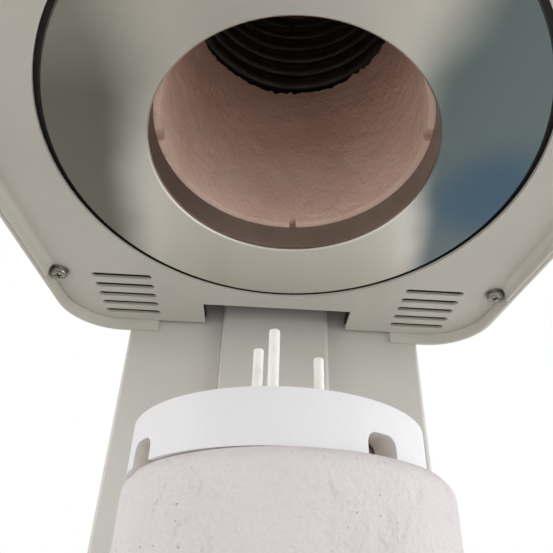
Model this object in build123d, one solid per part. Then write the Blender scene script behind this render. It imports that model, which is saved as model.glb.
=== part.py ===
from build123d import *
import math
import os

# Dental porcelain furnace with a platform that lifts its work up into the muffle.
# Millimetres, +Z up, the floor at Z = 0, the muffle's axis on X = 0, Y = 0, the operator at -Y.

# Sheet metal and clearances
SHEET = 1.5
SEAT = 0.3
RUNNING = 0.05
EDGE = 0.6

# Feet and base
FOOT_RADIUS = 14.0
FOOT_HEIGHT = 12.0
FOOT_SIDE_INSET = 26.0
FOOT_END_INSET = 27.0
BASE_WIDTH = 280.0
BASE_HEIGHT = 100.0
BASE_FRONT = 190.0
BASE_REAR = 173.0
BASE_NOSE = 36.0
SLOPE_DEPTH = 78.0
BASE_CORNER = 14.0
DECK_ROUND = 6.0
PAN_THICKNESS = 2.0
VENT_LENGTH = 34.0
VENT_WIDTH = 3.2
VENT_PITCH = 8.0
BASE_VENTS = 6

# Control panel
PANEL_WIDTH = 216.0
PANEL_LENGTH = 74.0
PANEL_THICKNESS = 4.0
DISPLAY_WIDTH = 92.0
DISPLAY_LENGTH = 50.0
DISPLAY_OFFSET = -46.0
GLASS_THICKNESS = 2.0
KEY_RADIUS = 8.0
KEY_PITCH = 30.0
KEY_ROW_PITCH = 28.0
KEY_COLUMN = 62.0
KEY_PROUD = 2.4
KEY_TRAVEL = 1.2
KEY_FLANGE = 1.6
KEY_FLANGE_THICKNESS = 1.0
KEY_CLEARANCE = 0.25
SWITCH_SIZE = 6.0
BOARD_THICKNESS = 1.6

# Transformer and control board in the base
TOROID_RADIUS = 50.0
TOROID_BORE = 16.0
TOROID_HEIGHT = 46.0
TOROID_ROUND = 5.0
TOROID_WASHER = 30.0
TOROID_BOLT = 5.0
TOROID_INSET = 82.0
TOROID_Y = -20.0
CONTROL_WIDTH = 108.0
CONTROL_LENGTH = 130.0
CONTROL_INSET = 12.0
CONTROL_Y = -5.0
CONTROL_MARGIN = 9.0
STANDOFF_RADIUS = 3.0
STANDOFF_HEIGHT = 8.0
MODULE_WIDTH = 40.0
MODULE_LENGTH = 50.0
MODULE_HEIGHT = 22.0
RELAY_WIDTH = 28.0
RELAY_LENGTH = 18.0
RELAY_HEIGHT = 16.0
RELAY_PITCH = 26.0
FIN_COUNT = 6
FIN_PITCH = 7.0
FIN_THICKNESS = 3.0
FIN_WIDTH = 52.0
FIN_HEIGHT = 30.0

# Platform and the work it carries
ARM_CLEARANCE = 6.0
ARM_THICKNESS = 8.0
ARM_PAD_RADIUS = 50.0
ARM_HALF_WIDTH = 34.0
ARM_RIB_HEIGHT = 7.0
ARM_RIB_WIDTH = 8.0
UPRIGHT_THICKNESS = 12.0
UPRIGHT_HEIGHT = 72.0
ARM_SCREW_RADIUS = 2.5
ARM_SCREW_DEPTH = 10.0
ARM_SCREW_HEAD = 4.2
ARM_SCREW_HEAD_HEIGHT = 3.0
ARM_SCREW_X = 18.0
ARM_SCREW_INSET = 14.0
SEAL_PLATE_RADIUS = 62.0
SEAL_PLATE_THICKNESS = 8.0
SEAL_RING_RADIUS = 56.5
SEAL_SECTION = 2.5
HOLDER_WALL = 1.6
HOLDER_HEIGHT = 7.0
BLOCK_RADIUS = 39.4
BLOCK_HEIGHT = 98.0
BLOCK_ROUND = 4.0
BOSS_RADIUS = 27.0
BOSS_HEIGHT = 5.6
TRAY_RADIUS = 36.0
TRAY_HEIGHT = 12.0
TRAY_SHIFT = -2.6
TRAY_WALL = 6.0
TRAY_DECK = 5.4
TRAY_ROUND = 1.2
ARCH_COUNT = 4
ARCH_START = -57.0
ARCH_WIDTH = 8.0
ARCH_HEIGHT = 5.2
ARCH_ROUND = 2.4
HOLE_PITCH = 6.8
HOLE_DEPTH = 4.0
PIN_RADIUS = 1.45
PIN_RISE = 26.8
PIN_CLEARANCE = 0.15
# Firing pegs by their places in the tray's hexagonal grid of holes, relative to its middle
PEG_PLACES = [(-6.1, 0.0), (-2.2, -11.3), (11.3, 3.8)]
SPARE_HOLES = 6
SPARE_HOLE_CIRCLE = 22.0
SPARE_HOLE_START = 15.0

# Head
PLATFORM_DROP = 114.8
HEAD_FRONT = 126.0
HEAD_REAR = 118.2
HEAD_REAR_WIDTH = 214.0
HEAD_SIDE_ANGLE = 4.2
HEAD_FRONT_SHOULDER = 84.0
HEAD_REAR_CORNER = 27.0
HEAD_FRONT_CORNER = 34.0
HEAD_WALL_HEIGHT = 228.0
HEAD_TOP_HEIGHT = 16.0
HEAD_TOP_ROUND = 11.0
SKIRT = 6.0
REAR_CUT_HALF = 63.2
LUG_SIZE = 18.0
LUG_THICKNESS = 2.0
TOP_VENTS = 7
TOP_VENT_LENGTH = 46.0
TOP_VENT_OFFSET = 52.0

# Plate under the head
PLATE_HOLE_RADIUS = 87.2
PLATE_BEND = 2.5
NOTCH_HALF = 38.2
NOTCH_FRONT = 97.8
SLOT_INNER = 61.2
SLOT_OUTER = 89.8
SLOT_FIRST = 76.5
SLOT_PITCH = 7.9
SLOT_WIDTH = 3.6
SLOT_COUNT = 5
SCREW_X = 104.0
SCREW_REAR_Y = 74.3
SCREW_FRONT_Y = -70.0
SCREW_RADIUS = 2.0
SCREW_HEAD_RADIUS = 3.8
SCREW_HEAD_HEIGHT = 2.3
SCREW_LENGTH = 5.0
WASHER_RADIUS = 4.5
WASHER_THICKNESS = 0.8

# Muffle
DISC_RADIUS = 85.4
DISC_THICKNESS = 2.0
DISC_RECESS = 0.8
MOUTH_RADIUS = 51.1
MOUTH_HEIGHT = 11.3
MOUTH_FLANGE = 4.0
COLLAR_BORE = 48.8
COLLAR_LENGTH = 92.0
COLLAR_CHAMFER = 2.0
NOTCH_TURN = -4.5
NOTCH_WIDTHS = [5.0, 3.0, 5.0, 3.0]
NOTCH_HEIGHT = 3.4
CASING_RADIUS = 84.0
CASING_FLANGE = 97.0
CASING_FLANGE_THICKNESS = 2.0
CASING_HEIGHT = 222.0
LID_THICKNESS = 2.5
LID_RADIUS = 90.0
LID_BOLTS = 6
LID_BOLT_RADIUS = 2.0
ROOF_THICKNESS = 34.0
ROD_RADIUS = 4.8
COIL_BORE = 49.6
COIL_PITCH = 11.8
COIL_TURNS = 6
TERMINAL_RISE = 12.0
TERMINAL_RADIUS = 3.0
TERMINAL_CHANNEL = 8.0
LEG_GAP = 1.5
SHEATH_RADIUS = 3.0
SHEATH_DROP = 20.0
HUB_RADIUS = 9.0
HUB_HEIGHT = 9.0

# Frame that hangs the muffle from the column
FRAME_THICKNESS = 3.0
FRAME_HALF_WIDTH = 99.0
FRAME_FRONT = 100.0
FRAME_EAR_INNER = 41.0
FRAME_EAR_OUTER = 61.0
FRAME_EAR_HEIGHT = 56.0
GUSSET_THICKNESS = 4.0
GUSSET_REACH = 18.0
EAR_BOLT_RADIUS = 3.0
EAR_BOLT_LOW = 20.0
EAR_BOLT_PITCH = 24.0

# Column and lift
COLUMN_HALF = 78.3
COLUMN_DEPTH = 51.4
COLUMN_SEAM = 25.0
COLUMN_TOP = 236.0
POST_SHEET = 2.0
LIP_INNER = 36.0
STRIP_HALF = 28.5
STRIP_PROUD = 5.0
STRIP_DEPTH = 14.0
STRIP_BEND = 2.4
STRIP_RISE = 14.0
STRIP_SIDE_GAP = 0.35
DRIVE_BACK = 25.6
ROD_SPACING = 80.0
GUIDE_RADIUS = 6.0
BUSH_RADIUS = 10.5
BUSH_LENGTH = 28.0
CARRIAGE_HALF = 54.0
CARRIAGE_DEPTH = 32.0
CARRIAGE_HEIGHT = 64.0
CARRIAGE_RISE = 4.0
BEARING_PLATE_THICKNESS = 10.0
BEARING_PLATE_DROP = 6.0
SCREW_MAIN_RADIUS = 7.0
JOURNAL_RADIUS = 5.0
BEARING_RADIUS = 13.0
BEARING_WIDTH = 8.0
NUT_RADIUS = 11.0
NUT_FLANGE = 17.0
NUT_FLANGE_THICKNESS = 5.0
NUT_LENGTH = 34.0
LEAD = 8.0
MOTOR_SIZE = 42.3
MOTOR_HEIGHT = 46.0
MOTOR_CORNER = 5.0
MOTOR_SHAFT_RADIUS = 2.5
MOTOR_BOLT_SPACING = 31.0
LANTERN_HEIGHT = 26.0
LANTERN_POST = 3.6
COUPLING_RADIUS = 9.5
COUPLING_LENGTH = 22.0
SENSOR_WIDTH = 9.0
SENSOR_HEIGHT = 14.0
SENSOR_DEPTH = 14.0

# Services
PORT_INSET = 15.7
VALVE_WIDTH = 24.0
VALVE_DEPTH = 25.0
VALVE_RISE = 14.0
PORT_HEXAGON = 8.0
PORT_HEXAGON_DEPTH = 4.0
PORT_HEIGHT = 34.0
HOSE_PIN_RADIUS = 4.0
HOSE_PIN_LENGTH = 17.0
PIPE_RADIUS = 3.0
PIPE_BEND = 12.0
PIPE_ENTRY = 90.0
SERVICE_INSET = 31.0
INLET_HEIGHT = 40.0
SWITCH_HEIGHT = 78.0
INLET_WIDTH = 27.0
INLET_TALL = 20.0
FUSE_RADIUS = 6.0
INLET_EAR = 9.0
INLET_RIM = 3.0
INLET_WALL = 2.0
INLET_DEPTH = 21.0
BLADE_PITCH = 7.0
BLADE_RISE = 2.0
BLADE_THICKNESS = 2.0
BLADE_WIDTH = 4.0
SWITCH_DEPTH = 14.0
ROCKER_TILT = 10.0
ROCKER_TALL = 13.2
ROCKER_REACH = 7.0
ROCKER_DISH = 1.4
ROCKER_TAIL = 3.4
ROCKER_TAPER = 2.0
ROCKER_PIN = 1.5
ROCKER_SETBACK = 4.0

# Levels and places that follow from the sizes above
deck_z = FOOT_HEIGHT + BASE_HEIGHT
pan_top = FOOT_HEIGHT + PAN_THICKNESS
arm_z = deck_z + ARM_CLEARANCE
seal_z = arm_z + ARM_THICKNESS
seal_top = seal_z + SEAL_PLATE_THICKNESS
block_top = seal_top + BLOCK_HEIGHT
tray_top = block_top + TRAY_HEIGHT
head_z = block_top + PLATFORM_DROP
disc_z = head_z + DISC_RECESS
lift_travel = disc_z - SEAT - (seal_top + SEAL_SECTION)
disc_top = disc_z + DISC_THICKNESS
frame_z = disc_top + CASING_FLANGE_THICKNESS
mouth_top = disc_top + MOUTH_HEIGHT
collar_top = mouth_top + COLLAR_LENGTH
coil_z = collar_top + ROD_RADIUS + SEAT
coil_top = coil_z + COIL_PITCH * COIL_TURNS
roof_z = disc_top + CASING_HEIGHT - ROOF_THICKNESS
lid_z = disc_top + CASING_HEIGHT
shell_top = head_z + HEAD_WALL_HEIGHT
column_face = HEAD_REAR + SEAT / 2
column_back = column_face + COLUMN_DEPTH
column_top = head_z + COLUMN_TOP
strip_face = column_face - STRIP_PROUD
strip_top = head_z + STRIP_RISE
slot_half = STRIP_HALF + STRIP_SIDE_GAP
slot_top = strip_top + lift_travel + ARM_CLEARANCE / 2
upright_face = strip_face - UPRIGHT_THICKNESS
drive_y = column_face + DRIVE_BACK
post_back = column_back - SHEET - SEAT
post_half = COLUMN_HALF - SHEET - SEAT
lip_y = column_face + SHEET
carriage_z = arm_z + CARRIAGE_RISE
lower_plate_top = arm_z - ARM_CLEARANCE - BEARING_PLATE_DROP
lower_plate_z = lower_plate_top - BEARING_PLATE_THICKNESS
upper_plate_z = column_top - 2 * SHEET - BEARING_PLATE_THICKNESS - BEARING_PLATE_DROP
motor_top = lower_plate_z - LANTERN_HEIGHT
collar_outer = CASING_RADIUS - SHEET - SEAT
coil_radius = COIL_BORE + ROD_RADIUS
leg_reach = coil_radius + ROD_RADIUS + TERMINAL_RADIUS + LEG_GAP
slope_rise = BASE_HEIGHT - BASE_NOSE
slope_length = math.hypot(SLOPE_DEPTH, slope_rise)
slope_angle = math.degrees(math.atan2(slope_rise, SLOPE_DEPTH))
service_y = BASE_REAR
service_x = BASE_WIDTH / 2 - SERVICE_INSET
rocker_y = service_y - ROCKER_SETBACK
port_x = post_half - POST_SHEET - PORT_INSET
valve_back = drive_y + VALVE_DEPTH * 0.6


def block(x0, x1, y0, y1, z0, z1):
    """A box between two corners."""
    size = Box(x1 - x0, y1 - y0, z1 - z0)
    return Pos((x0 + x1) / 2, (y0 + y1) / 2, (z0 + z1) / 2) * size


def rod(radius, z0, z1, x=0.0, y=0.0):
    """An upright cylinder."""
    return Pos(x, y, (z0 + z1) / 2) * Cylinder(radius, z1 - z0)


def rod_y(radius, y0, y1, x, z):
    """A cylinder along Y."""
    return Pos(x, (y0 + y1) / 2, z) * Rot(90, 0, 0) * Cylinder(radius, y1 - y0)


def ring(outer, inner, z0, z1, x=0.0, y=0.0):
    """An upright tube."""
    return rod(outer, z0, z1, x, y) - rod(inner, z0 - 1, z1 + 1, x, y)


def turned(points):
    """A solid of revolution about Z from (radius, height) points."""
    face = make_face(Polyline([(r, 0, z) for r, z in points], close=True))
    return revolve(face, Axis.Z)


def group(shapes):
    """Separate solids kept as one node."""
    solids = []
    for shape in shapes:
        solids += shape.solids()
    return Compound(solids)


def head_outline(inset):
    """The head's plan: sides that widen to the front, round corners and a bowed nose."""
    half = HEAD_REAR_WIDTH / 2
    spread = math.tan(math.radians(HEAD_SIDE_ANGLE))
    shoulder = half + spread * (HEAD_REAR + HEAD_FRONT_SHOULDER)
    front = -HEAD_FRONT_SHOULDER
    sides = Polyline([(shoulder, front), (half, HEAD_REAR), (-half, HEAD_REAR), (-shoulder, front)])
    nose = ThreePointArc((-shoulder, -HEAD_FRONT_SHOULDER), (0, -HEAD_FRONT), (shoulder, -HEAD_FRONT_SHOULDER))
    plan = make_face(sides.edges() + nose.edges())
    corners = plan.vertices().sort_by(Axis.Y)
    plan = fillet(corners[-2:], HEAD_REAR_CORNER)
    corners = [v for v in plan.vertices() if abs(v.Y + HEAD_FRONT_SHOULDER) < 0.01]
    plan = fillet(corners, HEAD_FRONT_CORNER)
    if inset:
        plan = offset(plan, amount=-inset)
    return plan


def head_slab(inset, z0, z1):
    """The head's plan drawn in by inset, between two heights."""
    return Pos(0, 0, z0) * extrude(head_outline(inset), amount=z1 - z0)


def top_edges(shape, z):
    """Edges that lie in the plane at height z."""
    edges = [(edge, edge.bounding_box()) for edge in shape.edges()]
    return [edge for edge, box in edges if abs(box.min.Z - z) < 0.01 and abs(box.max.Z - z) < 0.01]


def vent_row(count, length, width, pitch, z0, z1):
    """Upright-walled slots along X, stepped along Y about the middle."""
    slot = extrude(SlotOverall(length, width), amount=z1 - z0)
    return [Pos(0, (i - (count - 1) / 2) * pitch, z0) * slot for i in range(count)]


# Base

def base_profile(inset):
    """The base's side view as a face in YZ, drawn in by inset."""
    nose_z = FOOT_HEIGHT + BASE_NOSE
    points = [
        (0, -BASE_FRONT, FOOT_HEIGHT),
        (0, -BASE_FRONT, nose_z),
        (0, -BASE_FRONT + SLOPE_DEPTH, deck_z),
        (0, BASE_REAR, deck_z),
        (0, BASE_REAR, FOOT_HEIGHT),
    ]
    face = make_face(Polyline(points, close=True))
    if inset:
        face = offset(face, amount=-inset, kind=Kind.INTERSECTION)
    return face


def base_block(inset):
    """The base as a solid block with round corners, drawn in by inset."""
    half = BASE_WIDTH / 2 - inset
    body = extrude(base_profile(inset), amount=half, both=True)
    upright = body.edges().filter_by(Axis.Z)
    front = [e for e in upright if e.center().Y < 0]
    body = fillet(front, max(BASE_CORNER - inset, SHEET))
    roof = [e for e in body.edges() if e.center().Z > deck_z - inset - 0.5 and abs(e.center().X) > half - 1]
    return fillet(roof, max(DECK_ROUND - inset, EDGE))


def panel_plane(lift):
    """The plane of the sloping front, lift above its sheet, its x to the right and y up the slope."""
    tilt = math.radians(slope_angle)
    middle_y = -BASE_FRONT + SLOPE_DEPTH / 2 - lift * math.sin(tilt)
    middle_z = FOOT_HEIGHT + BASE_NOSE + slope_rise / 2 + lift * math.cos(tilt)
    return Plane(origin=(0, middle_y, middle_z), x_dir=(1, 0, 0), z_dir=(0, -math.sin(tilt), math.cos(tilt)))


def on_panel(sketch, low, high):
    """A sketch raised from the sloping front, between two distances from its outer face."""
    return panel_plane(low).location * extrude(sketch, amount=high - low)


def key_places():
    """The four keys, right of the display: names with their x and y on the panel."""
    x, y = KEY_COLUMN, KEY_ROW_PITCH / 2
    return {
        "start_key": (x - KEY_PITCH / 2, y),
        "stop_key": (x + KEY_PITCH / 2, y),
        "lift_up_key": (x - KEY_PITCH / 2, -y),
        "lift_down_key": (x + KEY_PITCH / 2, -y),
    }


def make_base_shell():
    hood = base_block(0) - base_block(SHEET)
    hood -= block(-BASE_WIDTH, BASE_WIDTH, -BASE_FRONT - 1, BASE_REAR + 1, FOOT_HEIGHT - 1, pan_top)
    rear_half = BASE_WIDTH / 2 - SHEET
    hood -= block(-rear_half, rear_half, BASE_REAR - 2 * SHEET, BASE_REAR + 1, FOOT_HEIGHT, deck_z - SHEET)
    opening = on_panel(Rectangle(PANEL_WIDTH - 12, PANEL_LENGTH - 12), -3 * SHEET, SHEET)
    hood -= opening
    well = COLUMN_HALF - SHEET
    hood -= block(-well, well, column_face + SHEET, column_back - SHEET, deck_z - 2 * SHEET, deck_z + 1)
    for side in (-1, 1):
        for slot in vent_row(BASE_VENTS, VENT_LENGTH, VENT_WIDTH, VENT_PITCH, 0, 4 * SHEET):
            across = Rot(0, 90, 0) * Rot(0, 0, 90) * slot
            hood -= Pos(side * BASE_WIDTH / 2 - 2 * SHEET, BASE_REAR / 3, deck_z - BASE_HEIGHT / 2) * across
    return hood


def make_floor_pan():
    slab = extrude(Rectangle(BASE_WIDTH, BASE_FRONT + BASE_REAR), amount=PAN_THICKNESS)
    slab = Pos(0, (BASE_REAR - BASE_FRONT) / 2, FOOT_HEIGHT) * slab
    upright = slab.edges().filter_by(Axis.Z)
    return fillet([e for e in upright if e.center().Y < 0], BASE_CORNER)


def make_rear_panel():
    half = BASE_WIDTH / 2 - SHEET - SEAT
    panel = block(-half, half, BASE_REAR - SHEET, BASE_REAR, pan_top, deck_z - SHEET - SEAT)
    y0, y1 = BASE_REAR - 2 * SHEET, BASE_REAR + 1
    panel -= block(service_x - INLET_WIDTH / 2, service_x + INLET_WIDTH / 2, y0, y1,
                   INLET_HEIGHT - INLET_TALL / 2, INLET_HEIGHT + INLET_TALL / 2)
    panel -= block(service_x - INLET_WIDTH / 2, service_x + INLET_WIDTH / 2, y0, y1,
                   SWITCH_HEIGHT - INLET_TALL / 2, SWITCH_HEIGHT + INLET_TALL / 2)
    panel -= rod_y(FUSE_RADIUS, y0, y1, -service_x, SWITCH_HEIGHT)
    panel -= rod_y(HOSE_PIN_RADIUS + 1, y0, y1, port_x, PORT_HEIGHT)
    return panel


def make_feet():
    foot = turned([
        (0, 0), (FOOT_RADIUS - 2, 0), (FOOT_RADIUS, 2), (FOOT_RADIUS - 3, FOOT_HEIGHT), (0, FOOT_HEIGHT),
    ])
    x = BASE_WIDTH / 2 - FOOT_SIDE_INSET
    ys = (-BASE_FRONT + FOOT_END_INSET, BASE_REAR - FOOT_END_INSET)
    return group([Pos(side * x, y, 0) * foot for side in (-1, 1) for y in ys])


def make_control_panel():
    outline = fillet(Rectangle(PANEL_WIDTH, PANEL_LENGTH).vertices(), 8)
    panel = on_panel(outline, 0, PANEL_THICKNESS)
    rim = Rectangle(PANEL_WIDTH - 12 - 2 * SEAT, PANEL_LENGTH - 12 - 2 * SEAT)
    inner = Rectangle(PANEL_WIDTH - 12 - 4 * SHEET, PANEL_LENGTH - 12 - 4 * SHEET)
    panel += on_panel(rim, -3 * SHEET, 0) - on_panel(inner, -4 * SHEET, 0)
    glass = fillet(Rectangle(DISPLAY_WIDTH + 2 * SEAT, DISPLAY_LENGTH + 2 * SEAT).vertices(), 4)
    view = Rectangle(DISPLAY_WIDTH - 8, DISPLAY_LENGTH - 8)
    place = Pos(DISPLAY_OFFSET, 0, 0)
    panel -= on_panel(place * glass, PANEL_THICKNESS - GLASS_THICKNESS, PANEL_THICKNESS + 1)
    panel -= on_panel(place * view, -1, PANEL_THICKNESS)
    for x, y in key_places().values():
        panel -= on_panel(Pos(x, y, 0) * Circle(KEY_RADIUS + KEY_CLEARANCE), -1, PANEL_THICKNESS + 1)
    return panel


def make_display_window():
    glass = fillet(Rectangle(DISPLAY_WIDTH, DISPLAY_LENGTH).vertices(), 4)
    return on_panel(Pos(DISPLAY_OFFSET, 0, 0) * glass, PANEL_THICKNESS - GLASS_THICKNESS, PANEL_THICKNESS)


def make_panel_board():
    """The board behind the panel: the display's screen, a button switch under each key and its carrier."""
    rest = KEY_FLANGE_THICKNESS + KEY_TRAVEL + SEAT
    screen = Pos(DISPLAY_OFFSET, 0, 0) * Rectangle(DISPLAY_WIDTH - 10, DISPLAY_LENGTH - 10)
    floor = -rest - 2 * SHEET
    board = Rectangle(PANEL_WIDTH - 12 - 4 * SHEET - 2 * SEAT, PANEL_LENGTH - 12 - 4 * SHEET - 2 * SEAT)
    part = on_panel(board, floor - BOARD_THICKNESS, floor)
    part += on_panel(screen, floor, 0)
    for x, y in key_places().values():
        part += on_panel(Pos(x, y, 0) * Rectangle(SWITCH_SIZE, SWITCH_SIZE), floor, -rest)
    return part


def make_key(x, y):
    cap = on_panel(Pos(x, y, 0) * Circle(KEY_RADIUS), 0, PANEL_THICKNESS + KEY_PROUD)
    rim = cap.edges().filter_by(GeomType.CIRCLE).sort_by(Axis((0, 0, 0), panel_plane(0).z_dir))[-1:]
    cap = fillet(rim, EDGE)
    flange = on_panel(Pos(x, y, 0) * Circle(KEY_RADIUS + KEY_FLANGE), -KEY_FLANGE_THICKNESS, 0)
    return cap + flange


def make_transformer():
    """The wound toroid with its dished washer and bolt, standing on the pan."""
    top = pan_top + TOROID_HEIGHT
    crown = TOROID_RADIUS - TOROID_ROUND
    core = turned([
        (TOROID_BORE, pan_top), (crown, pan_top), (TOROID_RADIUS, pan_top + TOROID_ROUND),
        (TOROID_RADIUS, top - TOROID_ROUND), (crown, top), (TOROID_BORE, top),
    ])
    washer = rod(TOROID_WASHER, top, top + PAN_THICKNESS)
    washer += rod(TOROID_BOLT, top, top + PAN_THICKNESS + TOROID_BOLT)
    return Pos(BASE_WIDTH / 2 - TOROID_INSET, TOROID_Y, 0) * (core + washer)


def make_control_board():
    """The board on its stand-offs, with a heat sink, a switching module and two relays."""
    x0 = -BASE_WIDTH / 2 + CONTROL_INSET
    x1 = x0 + CONTROL_WIDTH
    y0 = CONTROL_Y - CONTROL_LENGTH / 2
    y1 = y0 + CONTROL_LENGTH
    top = pan_top + STANDOFF_HEIGHT + BOARD_THICKNESS
    board = block(x0, x1, y0, y1, pan_top + STANDOFF_HEIGHT, top)
    for x in (x0 + 2 * STANDOFF_RADIUS, x1 - 2 * STANDOFF_RADIUS):
        for y in (y0 + 2 * STANDOFF_RADIUS, y1 - 2 * STANDOFF_RADIUS):
            board += rod(STANDOFF_RADIUS, pan_top, pan_top + STANDOFF_HEIGHT, x, y)
    module_x = x0 + CONTROL_MARGIN
    module_y = y0 + CONTROL_MARGIN
    module_end = module_y + MODULE_LENGTH
    board += block(module_x, module_x + MODULE_WIDTH, module_y, module_end, top, top + MODULE_HEIGHT)
    relay_x = x1 - CONTROL_MARGIN - RELAY_WIDTH
    for i in range(2):
        relay_y = module_y + i * RELAY_PITCH
        board += block(relay_x, relay_x + RELAY_WIDTH, relay_y, relay_y + RELAY_LENGTH, top, top + RELAY_HEIGHT)
    sink_y = y1 - CONTROL_MARGIN - (FIN_COUNT - 1) * FIN_PITCH - FIN_THICKNESS
    board += block(module_x, module_x + FIN_WIDTH, sink_y, y1 - CONTROL_MARGIN, top, top + FIN_THICKNESS)
    for i in range(FIN_COUNT):
        y = sink_y + i * FIN_PITCH
        board += block(module_x, module_x + FIN_WIDTH, y, y + FIN_THICKNESS, top, top + FIN_HEIGHT)
    return board


# Services at the back of the base

def make_mains_inlet():
    """A three-pin cord inlet: flange outside the panel, body inside, a recess with three blades."""
    wide, tall = INLET_WIDTH, INLET_TALL
    face = service_y + INLET_RIM
    flange = service_block(wide + 2 * INLET_EAR, tall + 2 * INLET_RIM, service_y, face, INLET_HEIGHT)
    flange = fillet(flange.edges().filter_by(Axis.Y), INLET_EAR / 2)
    body = service_block(wide - 2 * SEAT, tall - 2 * SEAT, face - INLET_DEPTH, service_y, INLET_HEIGHT)
    recess_floor = face - INLET_DEPTH + INLET_WALL
    recess = service_block(wide - 2 * INLET_WALL, tall - 2 * INLET_WALL, recess_floor, face + 1, INLET_HEIGHT)
    inlet = flange + body - recess
    for x, z in ((-BLADE_PITCH, -BLADE_RISE), (BLADE_PITCH, -BLADE_RISE), (0, BLADE_RISE)):
        blade_root = recess_floor - INLET_WALL / 2
        blade = service_block(BLADE_THICKNESS, BLADE_WIDTH, blade_root, service_y - INLET_RIM, INLET_HEIGHT + z)
        inlet += Pos(x, 0, 0) * blade
    return inlet


def service_block(wide, tall, y0, y1, z):
    """A box on the service panel, centred on the services' upright line."""
    return block(service_x - wide / 2, service_x + wide / 2, y0, y1, z - tall / 2, z + tall / 2)


def make_switch_frame():
    wide, tall = INLET_WIDTH, INLET_TALL
    """The switch's frame, with the pin that the rocker tilts on."""
    rim = INLET_WALL
    face = service_y + rim
    flange = service_block(wide + 2 * rim, tall + 2 * rim, service_y, face, SWITCH_HEIGHT)
    body = service_block(wide - 2 * SEAT, tall - 2 * SEAT, face - INLET_DEPTH, service_y, SWITCH_HEIGHT)
    recess = service_block(wide - 2 * rim, tall - 2 * rim, face - SWITCH_DEPTH, face + 1, SWITCH_HEIGHT)
    pin = Pos(service_x, rocker_y, SWITCH_HEIGHT) * Rot(0, 90, 0) * Cylinder(ROCKER_PIN, wide - rim)
    return flange + body - recess + pin


def make_rocker():
    """A two-faced rocker with its lower face pressed in."""
    half = ROCKER_TALL / 2
    wide = INLET_WIDTH - 2 * INLET_WALL - 2 * SEAT
    profile = [
        (0, -ROCKER_TAIL, -half + ROCKER_TAPER), (0, ROCKER_REACH, -half), (0, ROCKER_REACH - ROCKER_DISH, 0),
        (0, ROCKER_REACH, half), (0, -ROCKER_TAIL, half - ROCKER_TAPER),
    ]
    body = extrude(make_face(Polyline(profile, close=True)), amount=wide / 2, both=True)
    body -= Rot(0, 90, 0) * Cylinder(ROCKER_PIN + RUNNING, wide + 2)
    return Pos(service_x, rocker_y, SWITCH_HEIGHT) * Rot(ROCKER_TILT, 0, 0) * body


def make_fuse_holder():
    x, z = -service_x, SWITCH_HEIGHT
    cap = rod_y(FUSE_RADIUS + 2.5, service_y, service_y + 4, x, z)
    cap += rod_y(FUSE_RADIUS, service_y + 4, service_y + 9, x, z)
    cap -= block(x - 4.5, x + 4.5, service_y + 7.5, service_y + 10, z - 0.7, z + 0.7)
    return cap + rod_y(FUSE_RADIUS - SEAT, service_y - 26, service_y, x, z)


def make_vacuum_valve():
    half = VALVE_WIDTH / 2
    top = PORT_HEIGHT + VALVE_RISE
    return block(port_x - half, port_x + half, valve_back - VALVE_DEPTH, valve_back, pan_top, top)


def make_vacuum_nipple():
    """The hose nipple: a stem to the valve, a hexagon outside the panel and the pin for the hose."""
    face = service_y + PORT_HEXAGON_DEPTH
    nipple = rod_y(HOSE_PIN_RADIUS - RUNNING, valve_back, service_y, port_x, PORT_HEIGHT)
    hexagon = extrude(RegularPolygon(PORT_HEXAGON, 6), amount=PORT_HEXAGON_DEPTH)
    nipple += Pos(port_x, face, PORT_HEIGHT) * Rot(90, 0, 0) * hexagon
    return nipple + rod_y(HOSE_PIN_RADIUS, face, service_y + HOSE_PIN_LENGTH, port_x, PORT_HEIGHT)


def make_vacuum_pipe():
    """The pipe from the valve up the column and forward into the muffle's casing."""
    rise = disc_top + PIPE_ENTRY
    y = drive_y
    low = PORT_HEIGHT + VALVE_RISE
    path = FilletPolyline([(port_x, y, low), (port_x, y, rise), (port_x, 0, rise)], radius=PIPE_BEND)
    start = Plane(origin=(port_x, y, low), z_dir=(0, 0, 1))
    pipe = sweep(start * Circle(PIPE_RADIUS), path=path)
    return pipe - rod(CASING_RADIUS + RUNNING, rise - 20, rise + 20)


# Column

def make_column_frame():
    """A folded channel, open to the front, whose lips back the front cover."""
    outer = block(-post_half, post_half, lip_y, post_back, pan_top, column_top - SHEET)
    inner = block(-post_half + POST_SHEET, post_half - POST_SHEET, lip_y + POST_SHEET, post_back - POST_SHEET,
                  pan_top - 1, column_top)
    mouth = block(-LIP_INNER, LIP_INNER, lip_y - 1, post_back - POST_SHEET - 1, pan_top - 1, column_top)
    post = outer - inner - mouth
    post -= rod_y(HOSE_PIN_RADIUS + 1, post_back - 2 * POST_SHEET, post_back + 1, port_x, PORT_HEIGHT)
    for x, z in ear_bolt_places():
        post -= rod_y(EAR_BOLT_RADIUS + RUNNING, lip_y - 1, lip_y + 2 * POST_SHEET, x, z)
    return post - pipe_hole(lip_y + POST_SHEET)


def pipe_hole(depth):
    """Clearance for the vacuum pipe through the column's front, as deep as depth."""
    return rod_y(PIPE_RADIUS + SEAT, column_face - 5, depth + 1, port_x, disc_top + PIPE_ENTRY)


def ear_bolt_places():
    x = (FRAME_EAR_INNER + FRAME_EAR_OUTER) / 2
    return [(side * x, frame_z + EAR_BOLT_LOW + i * EAR_BOLT_PITCH) for side in (-1, 1) for i in range(2)]


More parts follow.
